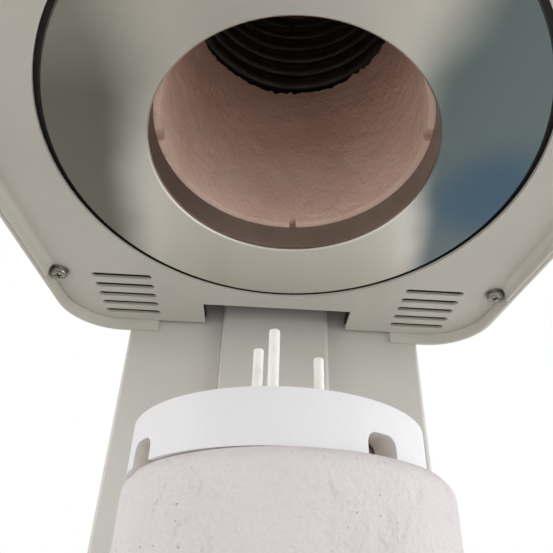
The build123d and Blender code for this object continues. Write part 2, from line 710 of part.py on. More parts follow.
def make_column_front():
    cover = block(-COLUMN_HALF, COLUMN_HALF, column_face, column_face + COLUMN_SEAM, deck_z, column_top)
    upright = [e for e in cover.edges().filter_by(Axis.Z) if e.center().Y < column_face + 1]
    cover = fillet(upright, SHEET * 1.6)
    half = COLUMN_HALF - SHEET
    hollow = block(-half, half, column_face + SHEET, column_face + COLUMN_SEAM + 1, deck_z - 1, column_top + 1)
    cover -= hollow
    cover -= block(-slot_half, slot_half, column_face - 1, column_face + 2 * SHEET, deck_z + 4, slot_top)
    for x, z in ear_bolt_places():
        cover -= rod_y(EAR_BOLT_RADIUS + RUNNING, column_face - 1, column_face + 2 * SHEET, x, z)
    return cover - pipe_hole(column_face + SHEET)


def make_column_rear():
    """The rear cover, its top folded forward as the column's roof."""
    front = column_face + COLUMN_SEAM + SEAT
    cover = block(-COLUMN_HALF, COLUMN_HALF, front, column_back, deck_z, column_top + SHEET)
    upright = [e for e in cover.edges().filter_by(Axis.Z) if e.center().Y > column_back - 1]
    cover = fillet(upright, SHEET * 1.6)
    half = COLUMN_HALF - SHEET
    cover -= block(-half, half, front - 1, column_back - SHEET, deck_z - 1, column_top)
    cover += block(-COLUMN_HALF, COLUMN_HALF, column_face, front, column_top, column_top + SHEET)
    for row in range(2):
        for slot in vent_row(BASE_VENTS, VENT_LENGTH, VENT_WIDTH, VENT_PITCH, -2 * SHEET, 2 * SHEET):
            upright = Rot(90, 0, 0) * slot
            cover -= Pos((row - 0.5) * 1.8 * VENT_LENGTH, column_back, column_top - 50) * upright
    return cover


def make_lower_plate():
    """The bearing plate at the lead screw's foot, with the lantern posts that carry the motor."""
    half = post_half - POST_SHEET - RUNNING
    front = lip_y + POST_SHEET + SEAT
    plate = block(-half, half, front, post_back - POST_SHEET, lower_plate_z, lower_plate_top)
    for dx in (-1, 1):
        for dy in (-1, 1):
            reach = MOTOR_BOLT_SPACING / 2
            plate += rod(LANTERN_POST, motor_top, lower_plate_z, dx * reach, drive_y + dy * reach)
    plate -= rod(BEARING_RADIUS + RUNNING, lower_plate_top - BEARING_WIDTH, lower_plate_top + 1, 0, drive_y)
    plate -= rod(JOURNAL_RADIUS + 3, lower_plate_z - 1, lower_plate_top, 0, drive_y)
    for side in (-1, 1):
        plate -= rod(GUIDE_RADIUS + RUNNING, lower_plate_z - 1, lower_plate_top + 1, side * ROD_SPACING / 2, drive_y)
    return plate - rod(PIPE_RADIUS + SEAT, lower_plate_z - 1, lower_plate_top + 1, port_x, drive_y)


def make_upper_plate():
    half = post_half - POST_SHEET - RUNNING
    top = upper_plate_z + BEARING_PLATE_THICKNESS
    plate = block(-half, half, lip_y + POST_SHEET + SEAT, post_back - POST_SHEET, upper_plate_z, top)
    strip_back = strip_face + STRIP_DEPTH + ARM_CLEARANCE / 2
    plate -= block(-slot_half, slot_half, lip_y, strip_back, upper_plate_z - 1, top + 1)
    plate -= rod(BEARING_RADIUS + RUNNING, upper_plate_z - 1, upper_plate_z + BEARING_WIDTH, 0, drive_y)
    plate -= rod(JOURNAL_RADIUS + 3, upper_plate_z - 1, top + 1, 0, drive_y)
    for side in (-1, 1):
        plate -= rod(GUIDE_RADIUS + RUNNING, upper_plate_z - 1, top + 1, side * ROD_SPACING / 2, drive_y)
    return plate


def make_guide_rods():
    top = upper_plate_z + BEARING_PLATE_THICKNESS
    return group([rod(GUIDE_RADIUS, lower_plate_z, top, side * ROD_SPACING / 2, drive_y) for side in (-1, 1)])


def make_screw_bearings():
    low = ring(BEARING_RADIUS, JOURNAL_RADIUS + RUNNING, lower_plate_top - BEARING_WIDTH, lower_plate_top, 0, drive_y)
    high = ring(BEARING_RADIUS, JOURNAL_RADIUS + RUNNING, upper_plate_z, upper_plate_z + BEARING_WIDTH, 0, drive_y)
    return group([low, high])


def make_lead_screw():
    low = lower_plate_top + SEAT
    high = upper_plate_z - SEAT
    foot = lower_plate_z - COUPLING_LENGTH / 2
    screw = rod(SCREW_MAIN_RADIUS, low, high, 0, drive_y)
    return screw + rod(JOURNAL_RADIUS, foot, upper_plate_z + BEARING_WIDTH, 0, drive_y)


def coupling_low():
    return motor_top + (LANTERN_HEIGHT - COUPLING_LENGTH) / 2


def make_coupling():
    """A clamp coupling: two bores, a saw cut each side of the middle and a clamping screw in each hub."""
    low = coupling_low()
    high = low + COUPLING_LENGTH
    middle = lower_plate_z - COUPLING_LENGTH / 2
    hub = rod(COUPLING_RADIUS, low, high, 0, drive_y)
    hub -= rod(JOURNAL_RADIUS + RUNNING, middle - SEAT, high + 1, 0, drive_y)
    hub -= rod(MOTOR_SHAFT_RADIUS + RUNNING, low - 1, middle, 0, drive_y)
    for z in (low + 3, high - 5):
        hub -= block(JOURNAL_RADIUS + 0.5, COUPLING_RADIUS + 1, drive_y - 0.6, drive_y + 0.6, z - 3, z + 5)
    return hub


def make_motor():
    y = drive_y
    half = MOTOR_SIZE / 2
    can = block(-half, half, y - half, y + half, motor_top - MOTOR_HEIGHT, motor_top)
    can = chamfer(can.edges().filter_by(Axis.Z), MOTOR_CORNER)
    for z in (motor_top - 9, motor_top - MOTOR_HEIGHT + 9):
        can -= ring(MOTOR_SIZE, half + 1.5, z - 0.6, z + 0.6, 0, y)
    can -= rod(MOTOR_SHAFT_RADIUS + RUNNING, motor_top - 14, motor_top + 1, 0, y)
    return can


def make_motor_shaft():
    return rod(MOTOR_SHAFT_RADIUS, motor_top - 13, lower_plate_z - COUPLING_LENGTH / 2 - 2 * SEAT, 0, drive_y)


def make_limit_sensors():
    """Forked sensors on the column's wall, one at each end of the carriage's way."""
    x1 = -post_half + POST_SHEET
    x0 = x1 + SENSOR_WIDTH
    y0, y1 = drive_y - SENSOR_DEPTH / 2, drive_y + SENSOR_DEPTH / 2
    low = block(x1, x0, y0, y1, carriage_z, carriage_z + SENSOR_HEIGHT)
    high = carriage_z + CARRIAGE_HEIGHT + lift_travel
    return group([low, block(x1, x0, y0, y1, high - SENSOR_HEIGHT, high)])


# Lift

def make_carriage():
    y0, y1 = drive_y - CARRIAGE_DEPTH / 2, drive_y + CARRIAGE_DEPTH / 2
    top = carriage_z + CARRIAGE_HEIGHT
    body = block(-CARRIAGE_HALF, CARRIAGE_HALF, y0, y1, carriage_z, top)
    body = chamfer(body.edges().filter_by(Axis.Z), 3)
    neck = STRIP_HALF - SHEET - SEAT
    body += block(-neck, neck, strip_face + SHEET, y0 + 1, carriage_z, top)
    for side in (-1, 1):
        body -= rod(BUSH_RADIUS + RUNNING, carriage_z - 1, top + 1, side * ROD_SPACING / 2, drive_y)
    body -= rod(NUT_RADIUS + RUNNING, carriage_z - 1, top + 1, 0, drive_y)
    for x, z in arm_screw_places():
        body -= rod_y(ARM_SCREW_RADIUS + RUNNING, strip_face, strip_face + ARM_SCREW_DEPTH + 1, x, z)
    return body


def make_bushes():
    bushes = []
    for side in (-1, 1):
        for z in (carriage_z, carriage_z + CARRIAGE_HEIGHT - BUSH_LENGTH):
            bushes.append(ring(BUSH_RADIUS, GUIDE_RADIUS + RUNNING, z, z + BUSH_LENGTH, side * ROD_SPACING / 2, drive_y))
    return group(bushes)


def make_nut():
    low = carriage_z - NUT_FLANGE_THICKNESS
    nut = rod(NUT_FLANGE, low, carriage_z, 0, drive_y) + rod(NUT_RADIUS, low, low + NUT_LENGTH, 0, drive_y)
    return nut - rod(SCREW_MAIN_RADIUS + RUNNING, low - 1, low + NUT_LENGTH + 1, 0, drive_y)


def arm_screw_places():
    low = carriage_z + ARM_SCREW_INSET
    high = arm_z + UPRIGHT_HEIGHT - ARM_SCREW_INSET
    return [(side * ARM_SCREW_X, z) for side in (-1, 1) for z in (low, high)]


def make_strip():
    """The folded channel that covers the column's slot and rises with the platform."""
    strip = block(-STRIP_HALF, STRIP_HALF, strip_face, strip_face + STRIP_DEPTH, arm_z, strip_top)
    front = [e for e in strip.edges().filter_by(Axis.Z) if e.center().Y < strip_face + 1]
    strip = fillet(front, STRIP_BEND)
    half = STRIP_HALF - SHEET
    strip -= block(-half, half, strip_face + SHEET, strip_face + STRIP_DEPTH + 1, arm_z - 1, strip_top + 1)
    for x, z in arm_screw_places():
        strip -= rod_y(ARM_SCREW_RADIUS + RUNNING, strip_face - 1, strip_face + 2 * SHEET, x, z)
    return strip


def make_arm():
    """The bracket under the seal plate, with an upright that is screwed to the strip."""
    pad = Circle(ARM_PAD_RADIUS)
    tangent = math.degrees(math.acos(ARM_HALF_WIDTH / ARM_PAD_RADIUS))
    reach = ARM_PAD_RADIUS * math.sin(math.radians(tangent))
    plan = pad + Pos(0, (strip_face + reach / 2) / 2, 0) * Rectangle(2 * ARM_HALF_WIDTH, strip_face - reach / 2)
    arm = Pos(0, 0, arm_z) * extrude(plan, amount=ARM_THICKNESS)
    arm += block(-ARM_HALF_WIDTH, ARM_HALF_WIDTH, upright_face, strip_face, arm_z, arm_z + UPRIGHT_HEIGHT)
    top = [e for e in arm.edges().filter_by(Axis.Y) if e.center().Z > arm_z + UPRIGHT_HEIGHT - 1]
    arm = fillet(top, 8)
    for side in (-1, 1):
        inner = side * (ARM_HALF_WIDTH - ARM_RIB_WIDTH)
        outer = side * ARM_HALF_WIDTH
        rib = block(min(inner, outer), max(inner, outer), SEAL_PLATE_RADIUS + 1, upright_face + 1,
                    seal_z - 1, seal_z + ARM_RIB_HEIGHT)
        arm += rib
    for x, z in arm_screw_places():
        arm -= rod_y(ARM_SCREW_RADIUS + RUNNING, upright_face - 1, strip_face + 1, x, z)
    return arm


def make_arm_screws():
    screws = []
    for x, z in arm_screw_places():
        head = rod_y(ARM_SCREW_HEAD, upright_face - ARM_SCREW_HEAD_HEIGHT, upright_face, x, z)
        shank = rod_y(ARM_SCREW_RADIUS, upright_face, strip_face + ARM_SCREW_DEPTH, x, z)
        screws.append(head + shank)
    return group(screws)


def make_seal_plate():
    """The flange that closes the muffle from below: a groove for its ring and a rim round the block's foot."""
    groove = SEAL_SECTION + RUNNING
    rim = BLOCK_RADIUS + SEAT
    plate = turned([
        (0, seal_z), (SEAL_PLATE_RADIUS - EDGE, seal_z), (SEAL_PLATE_RADIUS, seal_z + EDGE),
        (SEAL_PLATE_RADIUS, seal_top - EDGE), (SEAL_PLATE_RADIUS - EDGE, seal_top),
        (SEAL_RING_RADIUS + groove, seal_top), (SEAL_RING_RADIUS + groove, seal_top - groove),
        (SEAL_RING_RADIUS - groove, seal_top - groove), (SEAL_RING_RADIUS - groove, seal_top),
        (rim + HOLDER_WALL, seal_top), (rim + HOLDER_WALL, seal_top + HOLDER_HEIGHT),
        (rim, seal_top + HOLDER_HEIGHT), (rim, seal_top), (0, seal_top),
    ])
    return plate


def make_seal_ring():
    return Pos(0, 0, seal_top) * Torus(SEAL_RING_RADIUS, SEAL_SECTION)


def make_block():
    """The insulating block, with a boss that keeps the tray in place."""
    body = rod(BLOCK_RADIUS, seal_top, block_top)
    body = fillet(top_edges(body, block_top), BLOCK_ROUND)
    return body + rod(BOSS_RADIUS, block_top, block_top + BOSS_HEIGHT)


def peg_places():
    return [(TRAY_SHIFT + x, y) for x, y in PEG_PLACES]


def make_tray():
    """The ceramic tray: a shallow cup turned over, arches in its rim and holes for the pegs."""
    tray = Pos(TRAY_SHIFT, 0, 0) * rod(TRAY_RADIUS, block_top, tray_top)
    tray = fillet(top_edges(tray, tray_top), TRAY_ROUND)
    tray -= rod(TRAY_RADIUS - TRAY_WALL, block_top - 1, tray_top - TRAY_DECK, TRAY_SHIFT, 0)
    side = ARCH_WIDTH / 2
    arch = block(-2 * TRAY_WALL, 2 * TRAY_WALL, -side, side, block_top - ARCH_HEIGHT, block_top + ARCH_HEIGHT)
    arch = fillet(arch.edges().filter_by(Axis.X), ARCH_ROUND)
    for i in range(ARCH_COUNT):
        turn = ARCH_START + i * 360 / ARCH_COUNT
        tray -= Pos(TRAY_SHIFT, 0, 0) * Rot(0, 0, turn) * Pos(TRAY_RADIUS, 0, 0) * arch
    holes = peg_places()
    for i in range(SPARE_HOLES):
        turn = math.radians(SPARE_HOLE_START + i * 360 / SPARE_HOLES)
        holes.append((TRAY_SHIFT + SPARE_HOLE_CIRCLE * math.cos(turn), SPARE_HOLE_CIRCLE * math.sin(turn)))
    for x, y in holes:
        tray -= rod(PIN_RADIUS + PIN_CLEARANCE, tray_top - HOLE_DEPTH, tray_top + 1, x, y)
    return tray


def make_pegs():
    pegs = []
    for x, y in peg_places():
        peg = rod(PIN_RADIUS, tray_top - HOLE_DEPTH, tray_top + PIN_RISE, x, y)
        pegs.append(fillet(top_edges(peg, tray_top + PIN_RISE), EDGE))
    return group(pegs)


# Head

def screw_places():
    return [(side * SCREW_X, y) for side in (-1, 1) for y in (SCREW_REAR_Y, SCREW_FRONT_Y)]


def lug_plate(z0, z1):
    """Lugs in the head's wall that the plate's screws go up into."""
    lugs = []
    for x, y in screw_places():
        reach = HEAD_REAR_WIDTH / 2 + 12
        lug = block(abs(x) - LUG_SIZE / 2, reach + LUG_SIZE, y - LUG_SIZE / 2, y + LUG_SIZE / 2, z0, z1)
        if x < 0:
            lug = mirror(lug, Plane.YZ)
        lugs.append(lug & head_slab(SHEET / 2, z0 - 1, z1 + 1))
    return lugs


def make_head_shell():
    low = head_z - SKIRT
    shell = head_slab(0, low, shell_top) - head_slab(SHEET, low - 1, shell_top + 1)
    for lug in lug_plate(head_z + SHEET, head_z + SHEET + LUG_THICKNESS):
        shell += lug
    for x, y in screw_places():
        shell -= rod(SCREW_RADIUS + RUNNING, head_z, head_z + 10, x, y)
    cut = block(-REAR_CUT_HALF, REAR_CUT_HALF, HEAD_REAR - 3 * SHEET, HEAD_REAR + 1, low - 1, shell_top + 1)
    return shell - cut


def make_head_top():
    """The head's lid, with a round edge, a lip inside the wall and rows of vents."""
    top = shell_top + HEAD_TOP_HEIGHT
    lid = head_slab(0, shell_top, top)
    lid = fillet(top_edges(lid, top), HEAD_TOP_ROUND)
    hollow = head_slab(SHEET, shell_top - 1, top - SHEET)
    hollow = fillet(top_edges(hollow, top - SHEET), HEAD_TOP_ROUND - SHEET)
    lid -= hollow
    for side in (-1, 1):
        for slot in vent_row(TOP_VENTS, TOP_VENT_LENGTH, SLOT_WIDTH, VENT_PITCH, top - 2 * SHEET, top + SHEET):
            lid -= Pos(side * TOP_VENT_OFFSET, 0, 0) * slot
    return lid


def make_floor_plate():
    """The plate under the head: side flanges folded down, a round hole, a notch for the lift and vents."""
    gap = SHEET + SEAT
    plate = head_slab(gap, head_z - SKIRT, head_z + SHEET)
    hollow = head_slab(gap + SHEET, head_z - SKIRT - 1, head_z)
    plate -= fillet(top_edges(hollow, head_z), PLATE_BEND)
    flange_end = SCREW_REAR_Y + WASHER_RADIUS / 2
    plate -= block(-BASE_WIDTH, BASE_WIDTH, flange_end, HEAD_REAR, head_z - SKIRT - 1, head_z)
    plate -= rod(PLATE_HOLE_RADIUS, head_z - 1, head_z + 2 * SHEET)
    plate -= block(-NOTCH_HALF, NOTCH_HALF, NOTCH_FRONT, HEAD_REAR, head_z - 1, head_z + 2 * SHEET)
    slot = extrude(SlotOverall(SLOT_OUTER - SLOT_INNER, SLOT_WIDTH), amount=4 * SHEET)
    for side in (-1, 1):
        for i in range(SLOT_COUNT):
            x = side * (SLOT_INNER + SLOT_OUTER) / 2
            plate -= Pos(x, SLOT_FIRST + i * SLOT_PITCH, head_z - SHEET) * slot
    for x, y in screw_places():
        plate -= rod(SCREW_RADIUS + RUNNING, head_z - SHEET, head_z + 2 * SHEET, x, y)
        plate -= rod(WASHER_RADIUS + SEAT, head_z - SKIRT - 1, head_z, x, y)
    return plate


def make_plate_screws():
    """Pan-head screws with their washers."""
    parts = []
    for x, y in screw_places():
        parts.append(ring(WASHER_RADIUS, SCREW_RADIUS + RUNNING, head_z - WASHER_THICKNESS, head_z, x, y))
        top = head_z - WASHER_THICKNESS
        head = rod(SCREW_HEAD_RADIUS, top - SCREW_HEAD_HEIGHT, top, x, y)
        head = fillet(top_edges(head, top - SCREW_HEAD_HEIGHT), SCREW_HEAD_HEIGHT * 0.45)
        for turn in (0, 90):
            cross = Rot(0, 0, turn) * Box(3.6, 0.8, 2.4)
            head -= Pos(x, y, top - SCREW_HEAD_HEIGHT) * cross
        parts.append(head + rod(SCREW_RADIUS, top, head_z + SCREW_LENGTH, x, y))
    return group(parts)


def make_disc():
    return turned([
        (MOUTH_RADIUS, disc_z + EDGE), (MOUTH_RADIUS + EDGE, disc_z), (DISC_RADIUS - EDGE, disc_z),
        (DISC_RADIUS, disc_z + EDGE), (DISC_RADIUS, disc_top), (MOUTH_RADIUS, disc_top),
    ])


def make_mouth_ring():
    """The sheet ring that lines the muffle's mouth and carries the fibre."""
    wall = MOUTH_RADIUS + SHEET
    flange = wall + MOUTH_FLANGE
    return turned([
        (MOUTH_RADIUS, disc_top), (wall, disc_top), (wall, mouth_top - SHEET), (flange, mouth_top - SHEET),
        (flange, mouth_top), (MOUTH_RADIUS, mouth_top),
    ])


def make_collar():
    """The fibre collar in the cold half of the muffle, notched where it meets the mouth ring."""
    step = MOUTH_RADIUS + SHEET + SEAT
    shelf = step + MOUTH_FLANGE
    body = turned([
        (MOUTH_RADIUS, mouth_top), (COLLAR_BORE, mouth_top + COLLAR_CHAMFER), (COLLAR_BORE, collar_top),
        (collar_outer, collar_top), (collar_outer, disc_top + SEAT), (step, disc_top + SEAT),
        (step, mouth_top - SHEET - SEAT), (shelf, mouth_top - SHEET - SEAT), (shelf, mouth_top),
    ])
    for i, width in enumerate(NOTCH_WIDTHS):
        turn = NOTCH_TURN + i * 360 / len(NOTCH_WIDTHS)
        notch = block(COLLAR_BORE - 2, MOUTH_RADIUS + SHEET, -width / 2, width / 2, mouth_top, mouth_top + NOTCH_HEIGHT)
        body -= Rot(0, 0, turn) * notch
    return body


def make_lining():
    """The fibre ring round the element, with a channel for the element's lower leg."""
    lining = ring(collar_outer, coil_radius + ROD_RADIUS + SEAT, collar_top, roof_z)
    reach = coil_radius + ROD_RADIUS + TERMINAL_CHANNEL + 1
    return lining - block(-reach, -coil_radius, -TERMINAL_CHANNEL / 2, TERMINAL_CHANNEL / 2, collar_top - 1, roof_z + 1)


def make_coil():
    """The heating element, a round rod wound as a close helix."""
    height = COIL_PITCH * COIL_TURNS
    path = Helix(pitch=COIL_PITCH, height=height, radius=coil_radius)
    start = Plane(origin=path @ 0, z_dir=path % 0)
    winding = sweep(start * Circle(ROD_RADIUS), path=path, is_frenet=True)
    return Pos(0, 0, coil_z) * Rot(0, 0, 180) * winding


def make_terminals():
    """The element's two legs, up through the roof to above the lid."""
    top = lid_z + LID_THICKNESS + TERMINAL_RISE
    upper = rod(TERMINAL_RADIUS, coil_top + ROD_RADIUS, top, -coil_radius, 0)
    lower = rod(TERMINAL_RADIUS, coil_z, top, -leg_reach, 0)
    stub = leg_reach - coil_radius - ROD_RADIUS
    lower += Pos(-leg_reach + stub / 2, 0, coil_z) * Rot(0, 90, 0) * Cylinder(TERMINAL_RADIUS, stub)
    return group([lower, upper])


def make_roof():
    roof = rod(collar_outer, roof_z, lid_z)
    return roof - wire_holes(roof_z - 1, lid_z + 1, SEAT)


def wire_holes(z0, z1, gap):
    """The holes for the thermocouple and the element's legs."""
    holes = rod(SHEATH_RADIUS + gap, z0, z1)
    holes += rod(TERMINAL_RADIUS + gap, z0, z1, -coil_radius, 0)
    return holes + rod(TERMINAL_RADIUS + gap, z0, z1, -leg_reach, 0)


def make_casing():
    top = lid_z
    inner = CASING_RADIUS - SHEET
    casing = turned([
        (inner, disc_top), (CASING_FLANGE, disc_top), (CASING_FLANGE, disc_top + CASING_FLANGE_THICKNESS),
        (CASING_RADIUS, disc_top + CASING_FLANGE_THICKNESS), (CASING_RADIUS, top - SHEET),
        (LID_RADIUS, top - SHEET), (LID_RADIUS, top), (inner, top),
    ])
    return casing


def make_lid():
    lid = rod(LID_RADIUS, lid_z, lid_z + LID_THICKNESS) - wire_holes(lid_z - 1, lid_z + LID_THICKNESS + 1, 2.0)
    for i in range(LID_BOLTS):
        turn = math.radians(30 + i * 360 / LID_BOLTS)
        reach = (CASING_RADIUS + LID_RADIUS) / 2
        x, y = reach * math.cos(turn), reach * math.sin(turn)
        lid += rod(LID_BOLT_RADIUS, lid_z + LID_THICKNESS, lid_z + LID_THICKNESS + 2.4, x, y)
    return lid


def make_thermocouple():
    top = lid_z + LID_THICKNESS
    sheath = rod(SHEATH_RADIUS, roof_z - SHEATH_DROP, top)
    head = rod(HUB_RADIUS, top, top + HUB_HEIGHT)
    return sheath + head


def make_head_frame():
    """The plate round the casing, with ears that are bolted to the column."""
    z1 = frame_z + FRAME_THICKNESS
    plate = block(-FRAME_HALF_WIDTH, FRAME_HALF_WIDTH, -FRAME_FRONT, column_face, frame_z, z1)
    upright = plate.edges().filter_by(Axis.Z)
    plate = fillet(upright, 20)
    plate -= rod(CASING_RADIUS + RUNNING, frame_z - 1, z1 + 1)
    plate -= block(-NOTCH_HALF, NOTCH_HALF, NOTCH_FRONT, column_face + 1, frame_z - 1, z1 + 1)
    inside = head_slab(SHEET + SEAT, frame_z, z1)
    tongue = block(-REAR_CUT_HALF + SEAT, REAR_CUT_HALF - SEAT, 0, column_face, frame_z, z1)
    plate = plate & (inside + tongue)
    for side in (-1, 1):
        x0, x1 = sorted((side * FRAME_EAR_INNER, side * FRAME_EAR_OUTER))
        ear = block(x0, x1, column_face - FRAME_THICKNESS, column_face, frame_z, frame_z + FRAME_EAR_HEIGHT)
        web_x = side * (FRAME_EAR_INNER + GUSSET_THICKNESS / 2)
        web = make_face(Polyline([
            (0, column_face, frame_z), (0, column_face - GUSSET_REACH, frame_z),
            (0, column_face - FRAME_THICKNESS, frame_z + FRAME_EAR_HEIGHT),
            (0, column_face, frame_z + FRAME_EAR_HEIGHT),
        ], close=True))
        plate += ear + Pos(web_x, 0, 0) * extrude(web, amount=GUSSET_THICKNESS / 2, both=True)
    for x, z in ear_bolt_places():
        plate -= rod_y(EAR_BOLT_RADIUS + RUNNING, column_face - 2 * FRAME_THICKNESS, column_face + 1, x, z)
    return plate


def make_head_bolts():
    bolts = []
    for x, z in ear_bolt_places():
        front = column_face - FRAME_THICKNESS
        head = extrude(RegularPolygon(5.2, 6), amount=4)
        head = Pos(x, front, z) * Rot(90, 0, 0) * head
        bolts.append(head + rod_y(EAR_BOLT_RADIUS, front, lip_y + POST_SHEET + 2, x, z))
    return group(bolts)


def build():
    """Every node by name."""
    nodes = {
        "base_shell": make_base_shell(),
        "floor_pan": make_floor_pan(),
        "rear_panel": make_rear_panel(),
        "rubber_feet": make_feet(),
        "control_panel": make_control_panel(),
        "display_window": make_display_window(),
        "panel_board": make_panel_board(),
        "transformer": make_transformer(),
        "control_board": make_control_board(),
        "mains_inlet": make_mains_inlet(),
        "power_switch_frame": make_switch_frame(),
        "power_rocker": make_rocker(),
        "fuse_holder": make_fuse_holder(),
        "vacuum_valve": make_vacuum_valve(),
        "vacuum_nipple": make_vacuum_nipple(),
        "vacuum_pipe": make_vacuum_pipe(),
        "column_frame": make_column_frame(),
        "column_front_cover": make_column_front(),
        "column_rear_cover": make_column_rear(),
        "lower_bearing_plate": make_lower_plate(),
        "upper_bearing_plate": make_upper_plate(),
        "guide_rods": make_guide_rods(),
        "screw_bearings": make_screw_bearings(),
        "lift_motor": make_motor(),
        "limit_sensors": make_limit_sensors(),
        "lead_screw": make_lead_screw(),
        "shaft_coupling": make_coupling(),
        "motor_shaft": make_motor_shaft(),
        "carriage": make_carriage(),
        "linear_bushes": make_bushes(),
        "screw_nut": make_nut(),
        "lift_strip": make_strip(),
        "lift_arm": make_arm(),
        "arm_screws": make_arm_screws(),
        "seal_plate": make_seal_plate(),
        "seal_ring": make_seal_ring(),
        "insulation_block": make_block(),
        "firing_tray": make_tray(),
        "firing_pegs": make_pegs(),
        "head_shell": make_head_shell(),
        "head_top_cover": make_head_top(),
        "head_frame": make_head_frame(),
        "head_bolts": make_head_bolts(),
        "floor_plate": make_floor_plate(),
        "plate_screws": make_plate_screws(),
        "steel_disc": make_disc(),
        "mouth_ring": make_mouth_ring(),
        "muffle_casing": make_casing(),
        "casing_lid": make_lid(),
        "fibre_collar": make_collar(),
        "fibre_lining": make_lining(),
        "fibre_roof": make_roof(),
        "heating_coil": make_coil(),
        "coil_terminals": make_terminals(),
        "thermocouple": make_thermocouple(),
    }
    for name, (x, y) in key_places().items():
        nodes[name] = make_key(x, y)
    return nodes


def main():
    os.makedirs("parts", exist_ok=True)
    nodes = build()
    for name, shape in nodes.items():
        export_step(shape, f"parts/{name}.step")
    print(len(nodes), "nodes")
    print("head_z", round(head_z, 3), "lift_travel", round(lift_travel, 3), "drive_y", round(drive_y, 3))
    print("height", round(shell_top + HEAD_TOP_HEIGHT, 3), "slope angle", round(slope_angle, 3))


main()
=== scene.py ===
import math

import bpy
from mathutils import Matrix, Vector


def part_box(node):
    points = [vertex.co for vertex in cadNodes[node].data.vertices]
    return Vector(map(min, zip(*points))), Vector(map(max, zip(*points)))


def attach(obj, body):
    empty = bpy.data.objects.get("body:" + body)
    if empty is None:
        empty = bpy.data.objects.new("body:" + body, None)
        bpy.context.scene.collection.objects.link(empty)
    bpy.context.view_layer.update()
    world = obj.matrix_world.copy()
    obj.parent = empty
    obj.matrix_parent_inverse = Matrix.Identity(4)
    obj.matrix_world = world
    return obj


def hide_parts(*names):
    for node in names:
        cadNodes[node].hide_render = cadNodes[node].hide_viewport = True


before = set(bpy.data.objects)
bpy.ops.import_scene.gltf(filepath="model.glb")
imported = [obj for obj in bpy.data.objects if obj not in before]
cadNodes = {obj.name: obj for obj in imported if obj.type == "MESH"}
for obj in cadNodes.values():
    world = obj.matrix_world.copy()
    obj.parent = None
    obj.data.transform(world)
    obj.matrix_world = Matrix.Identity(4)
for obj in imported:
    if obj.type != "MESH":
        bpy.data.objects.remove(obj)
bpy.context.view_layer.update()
print("frame loaded:", len(cadNodes), "nodes")

# camera, floor and light
photoView = {
    "place": (-0.00912, -0.13205, 0.20145),  # metres
    "yaw": 2.2291,
    "pitch": 30.9935,
    "roll": 1.8142,
    "lens": 34.32,
    "sensor": 36,
    "shiftY": 0.0787,
    "nearest": 0.005,
}


def addCamera():
    yaw, pitch, roll = (math.radians(photoView[k]) for k in ("yaw", "pitch", "roll"))
    ahead = Vector((math.sin(yaw) * math.cos(pitch), math.cos(yaw) * math.cos(pitch), math.sin(pitch)))
    level = Vector((math.cos(yaw), -math.sin(yaw), 0))
    upright = level.cross(ahead)
    right = math.cos(roll) * level + math.sin(roll) * upright
    up = -math.sin(roll) * level + math.cos(roll) * upright
    bpy.ops.object.camera_add()
    camera = bpy.context.object
    camera.name = "photoCamera"
    turn = Matrix((right, up, -ahead)).transposed().to_4x4()
    camera.matrix_world = Matrix.Translation(photoView["place"]) @ turn
    camera.data.lens = photoView["lens"]
    camera.data.sensor_width = photoView["sensor"]
    camera.data.shift_y = photoView["shiftY"]
    camera.data.clip_start = photoView["nearest"]
    bpy.context.scene.camera = camera


lamps = [  # name, place, aims at, width, watts, colour
    ("leftLamp", (-1.6, -0.5, 0.50), (0, 0, 0.28), 0.9, 12, (1.0, 0.99, 0.97)),
    ("rightLamp", (1.6, -0.5, 0.45), (0, 0, 0.28), 0.9, 16, (0.98, 0.99, 1.0)),
    ("frontLamp", (0.0, -1.5, 0.28), (0, 0, 0.28), 0.7, 3.5, (1.0, 0.99, 0.97)),
    ("topLamp", (0.2, -0.4, 1.8), (0, 0, 0.30), 1.0, 8, (1.0, 1.0, 1.0)),
    ("backLamp", (0.6, 1.5, 0.6), (0, 0, 0.30), 0.9, 10, (1.0, 1.0, 1.0)),
]


def addLamps():
    for name, place, target, width, watts, colour in lamps:
        bpy.ops.object.light_add(type="AREA", location=place)
        lamp = bpy.context.object
        lamp.name = name
        lamp.data.size = width
        lamp.data.energy = watts
        lamp.data.color = colour
        lamp.rotation_euler = (Vector(target) - Vector(place)).to_track_quat("-Z", "Y").to_euler()


studio = {
    "seen": (1, 1, 1, 1),  # what the camera sees past the floor
    "light": (1, 0.99, 0.97, 1),
    "strength": 0.44,
    "floorWidth": 6.0,
    "floorColour": (0.74, 0.73, 0.71, 1),
    "floorRough": 0.9,
}


def addWorld():
    world = bpy.data.worlds.new("studio")
    bpy.context.scene.world = world
    world.use_nodes = True
    tree = world.node_tree
    tree.nodes.clear()
    out = tree.nodes.new("ShaderNodeOutputWorld")
    seen = tree.nodes.new("ShaderNodeBackground")
    seen.inputs["Color"].default_value = studio["seen"]
    seen.inputs["Strength"].default_value = 1.0
    lit = tree.nodes.new("ShaderNodeBackground")
    lit.inputs["Color"].default_value = studio["light"]
    lit.inputs["Strength"].default_value = studio["strength"]
    rays = tree.nodes.new("ShaderNodeLightPath")
    mix = tree.nodes.new("ShaderNodeMixShader")
    white = rays.outputs["Is Camera Ray"]
    for ray in ("Is Glossy Ray", "Is Transmission Ray"):  # metal and glass show the white too
        either = tree.nodes.new("ShaderNodeMath")
        either.operation = "MAXIMUM"
        tree.links.new(white, either.inputs[0])
        tree.links.new(rays.outputs[ray], either.inputs[1])
        white = either.outputs[0]
    tree.links.new(white, mix.inputs["Fac"])
    tree.links.new(lit.outputs[0], mix.inputs[1])
    tree.links.new(seen.outputs[0], mix.inputs[2])
    tree.links.new(mix.outputs[0], out.inputs["Surface"])


def deselectAll():
    for item in list(bpy.context.selected_objects):
        item.select_set(False)


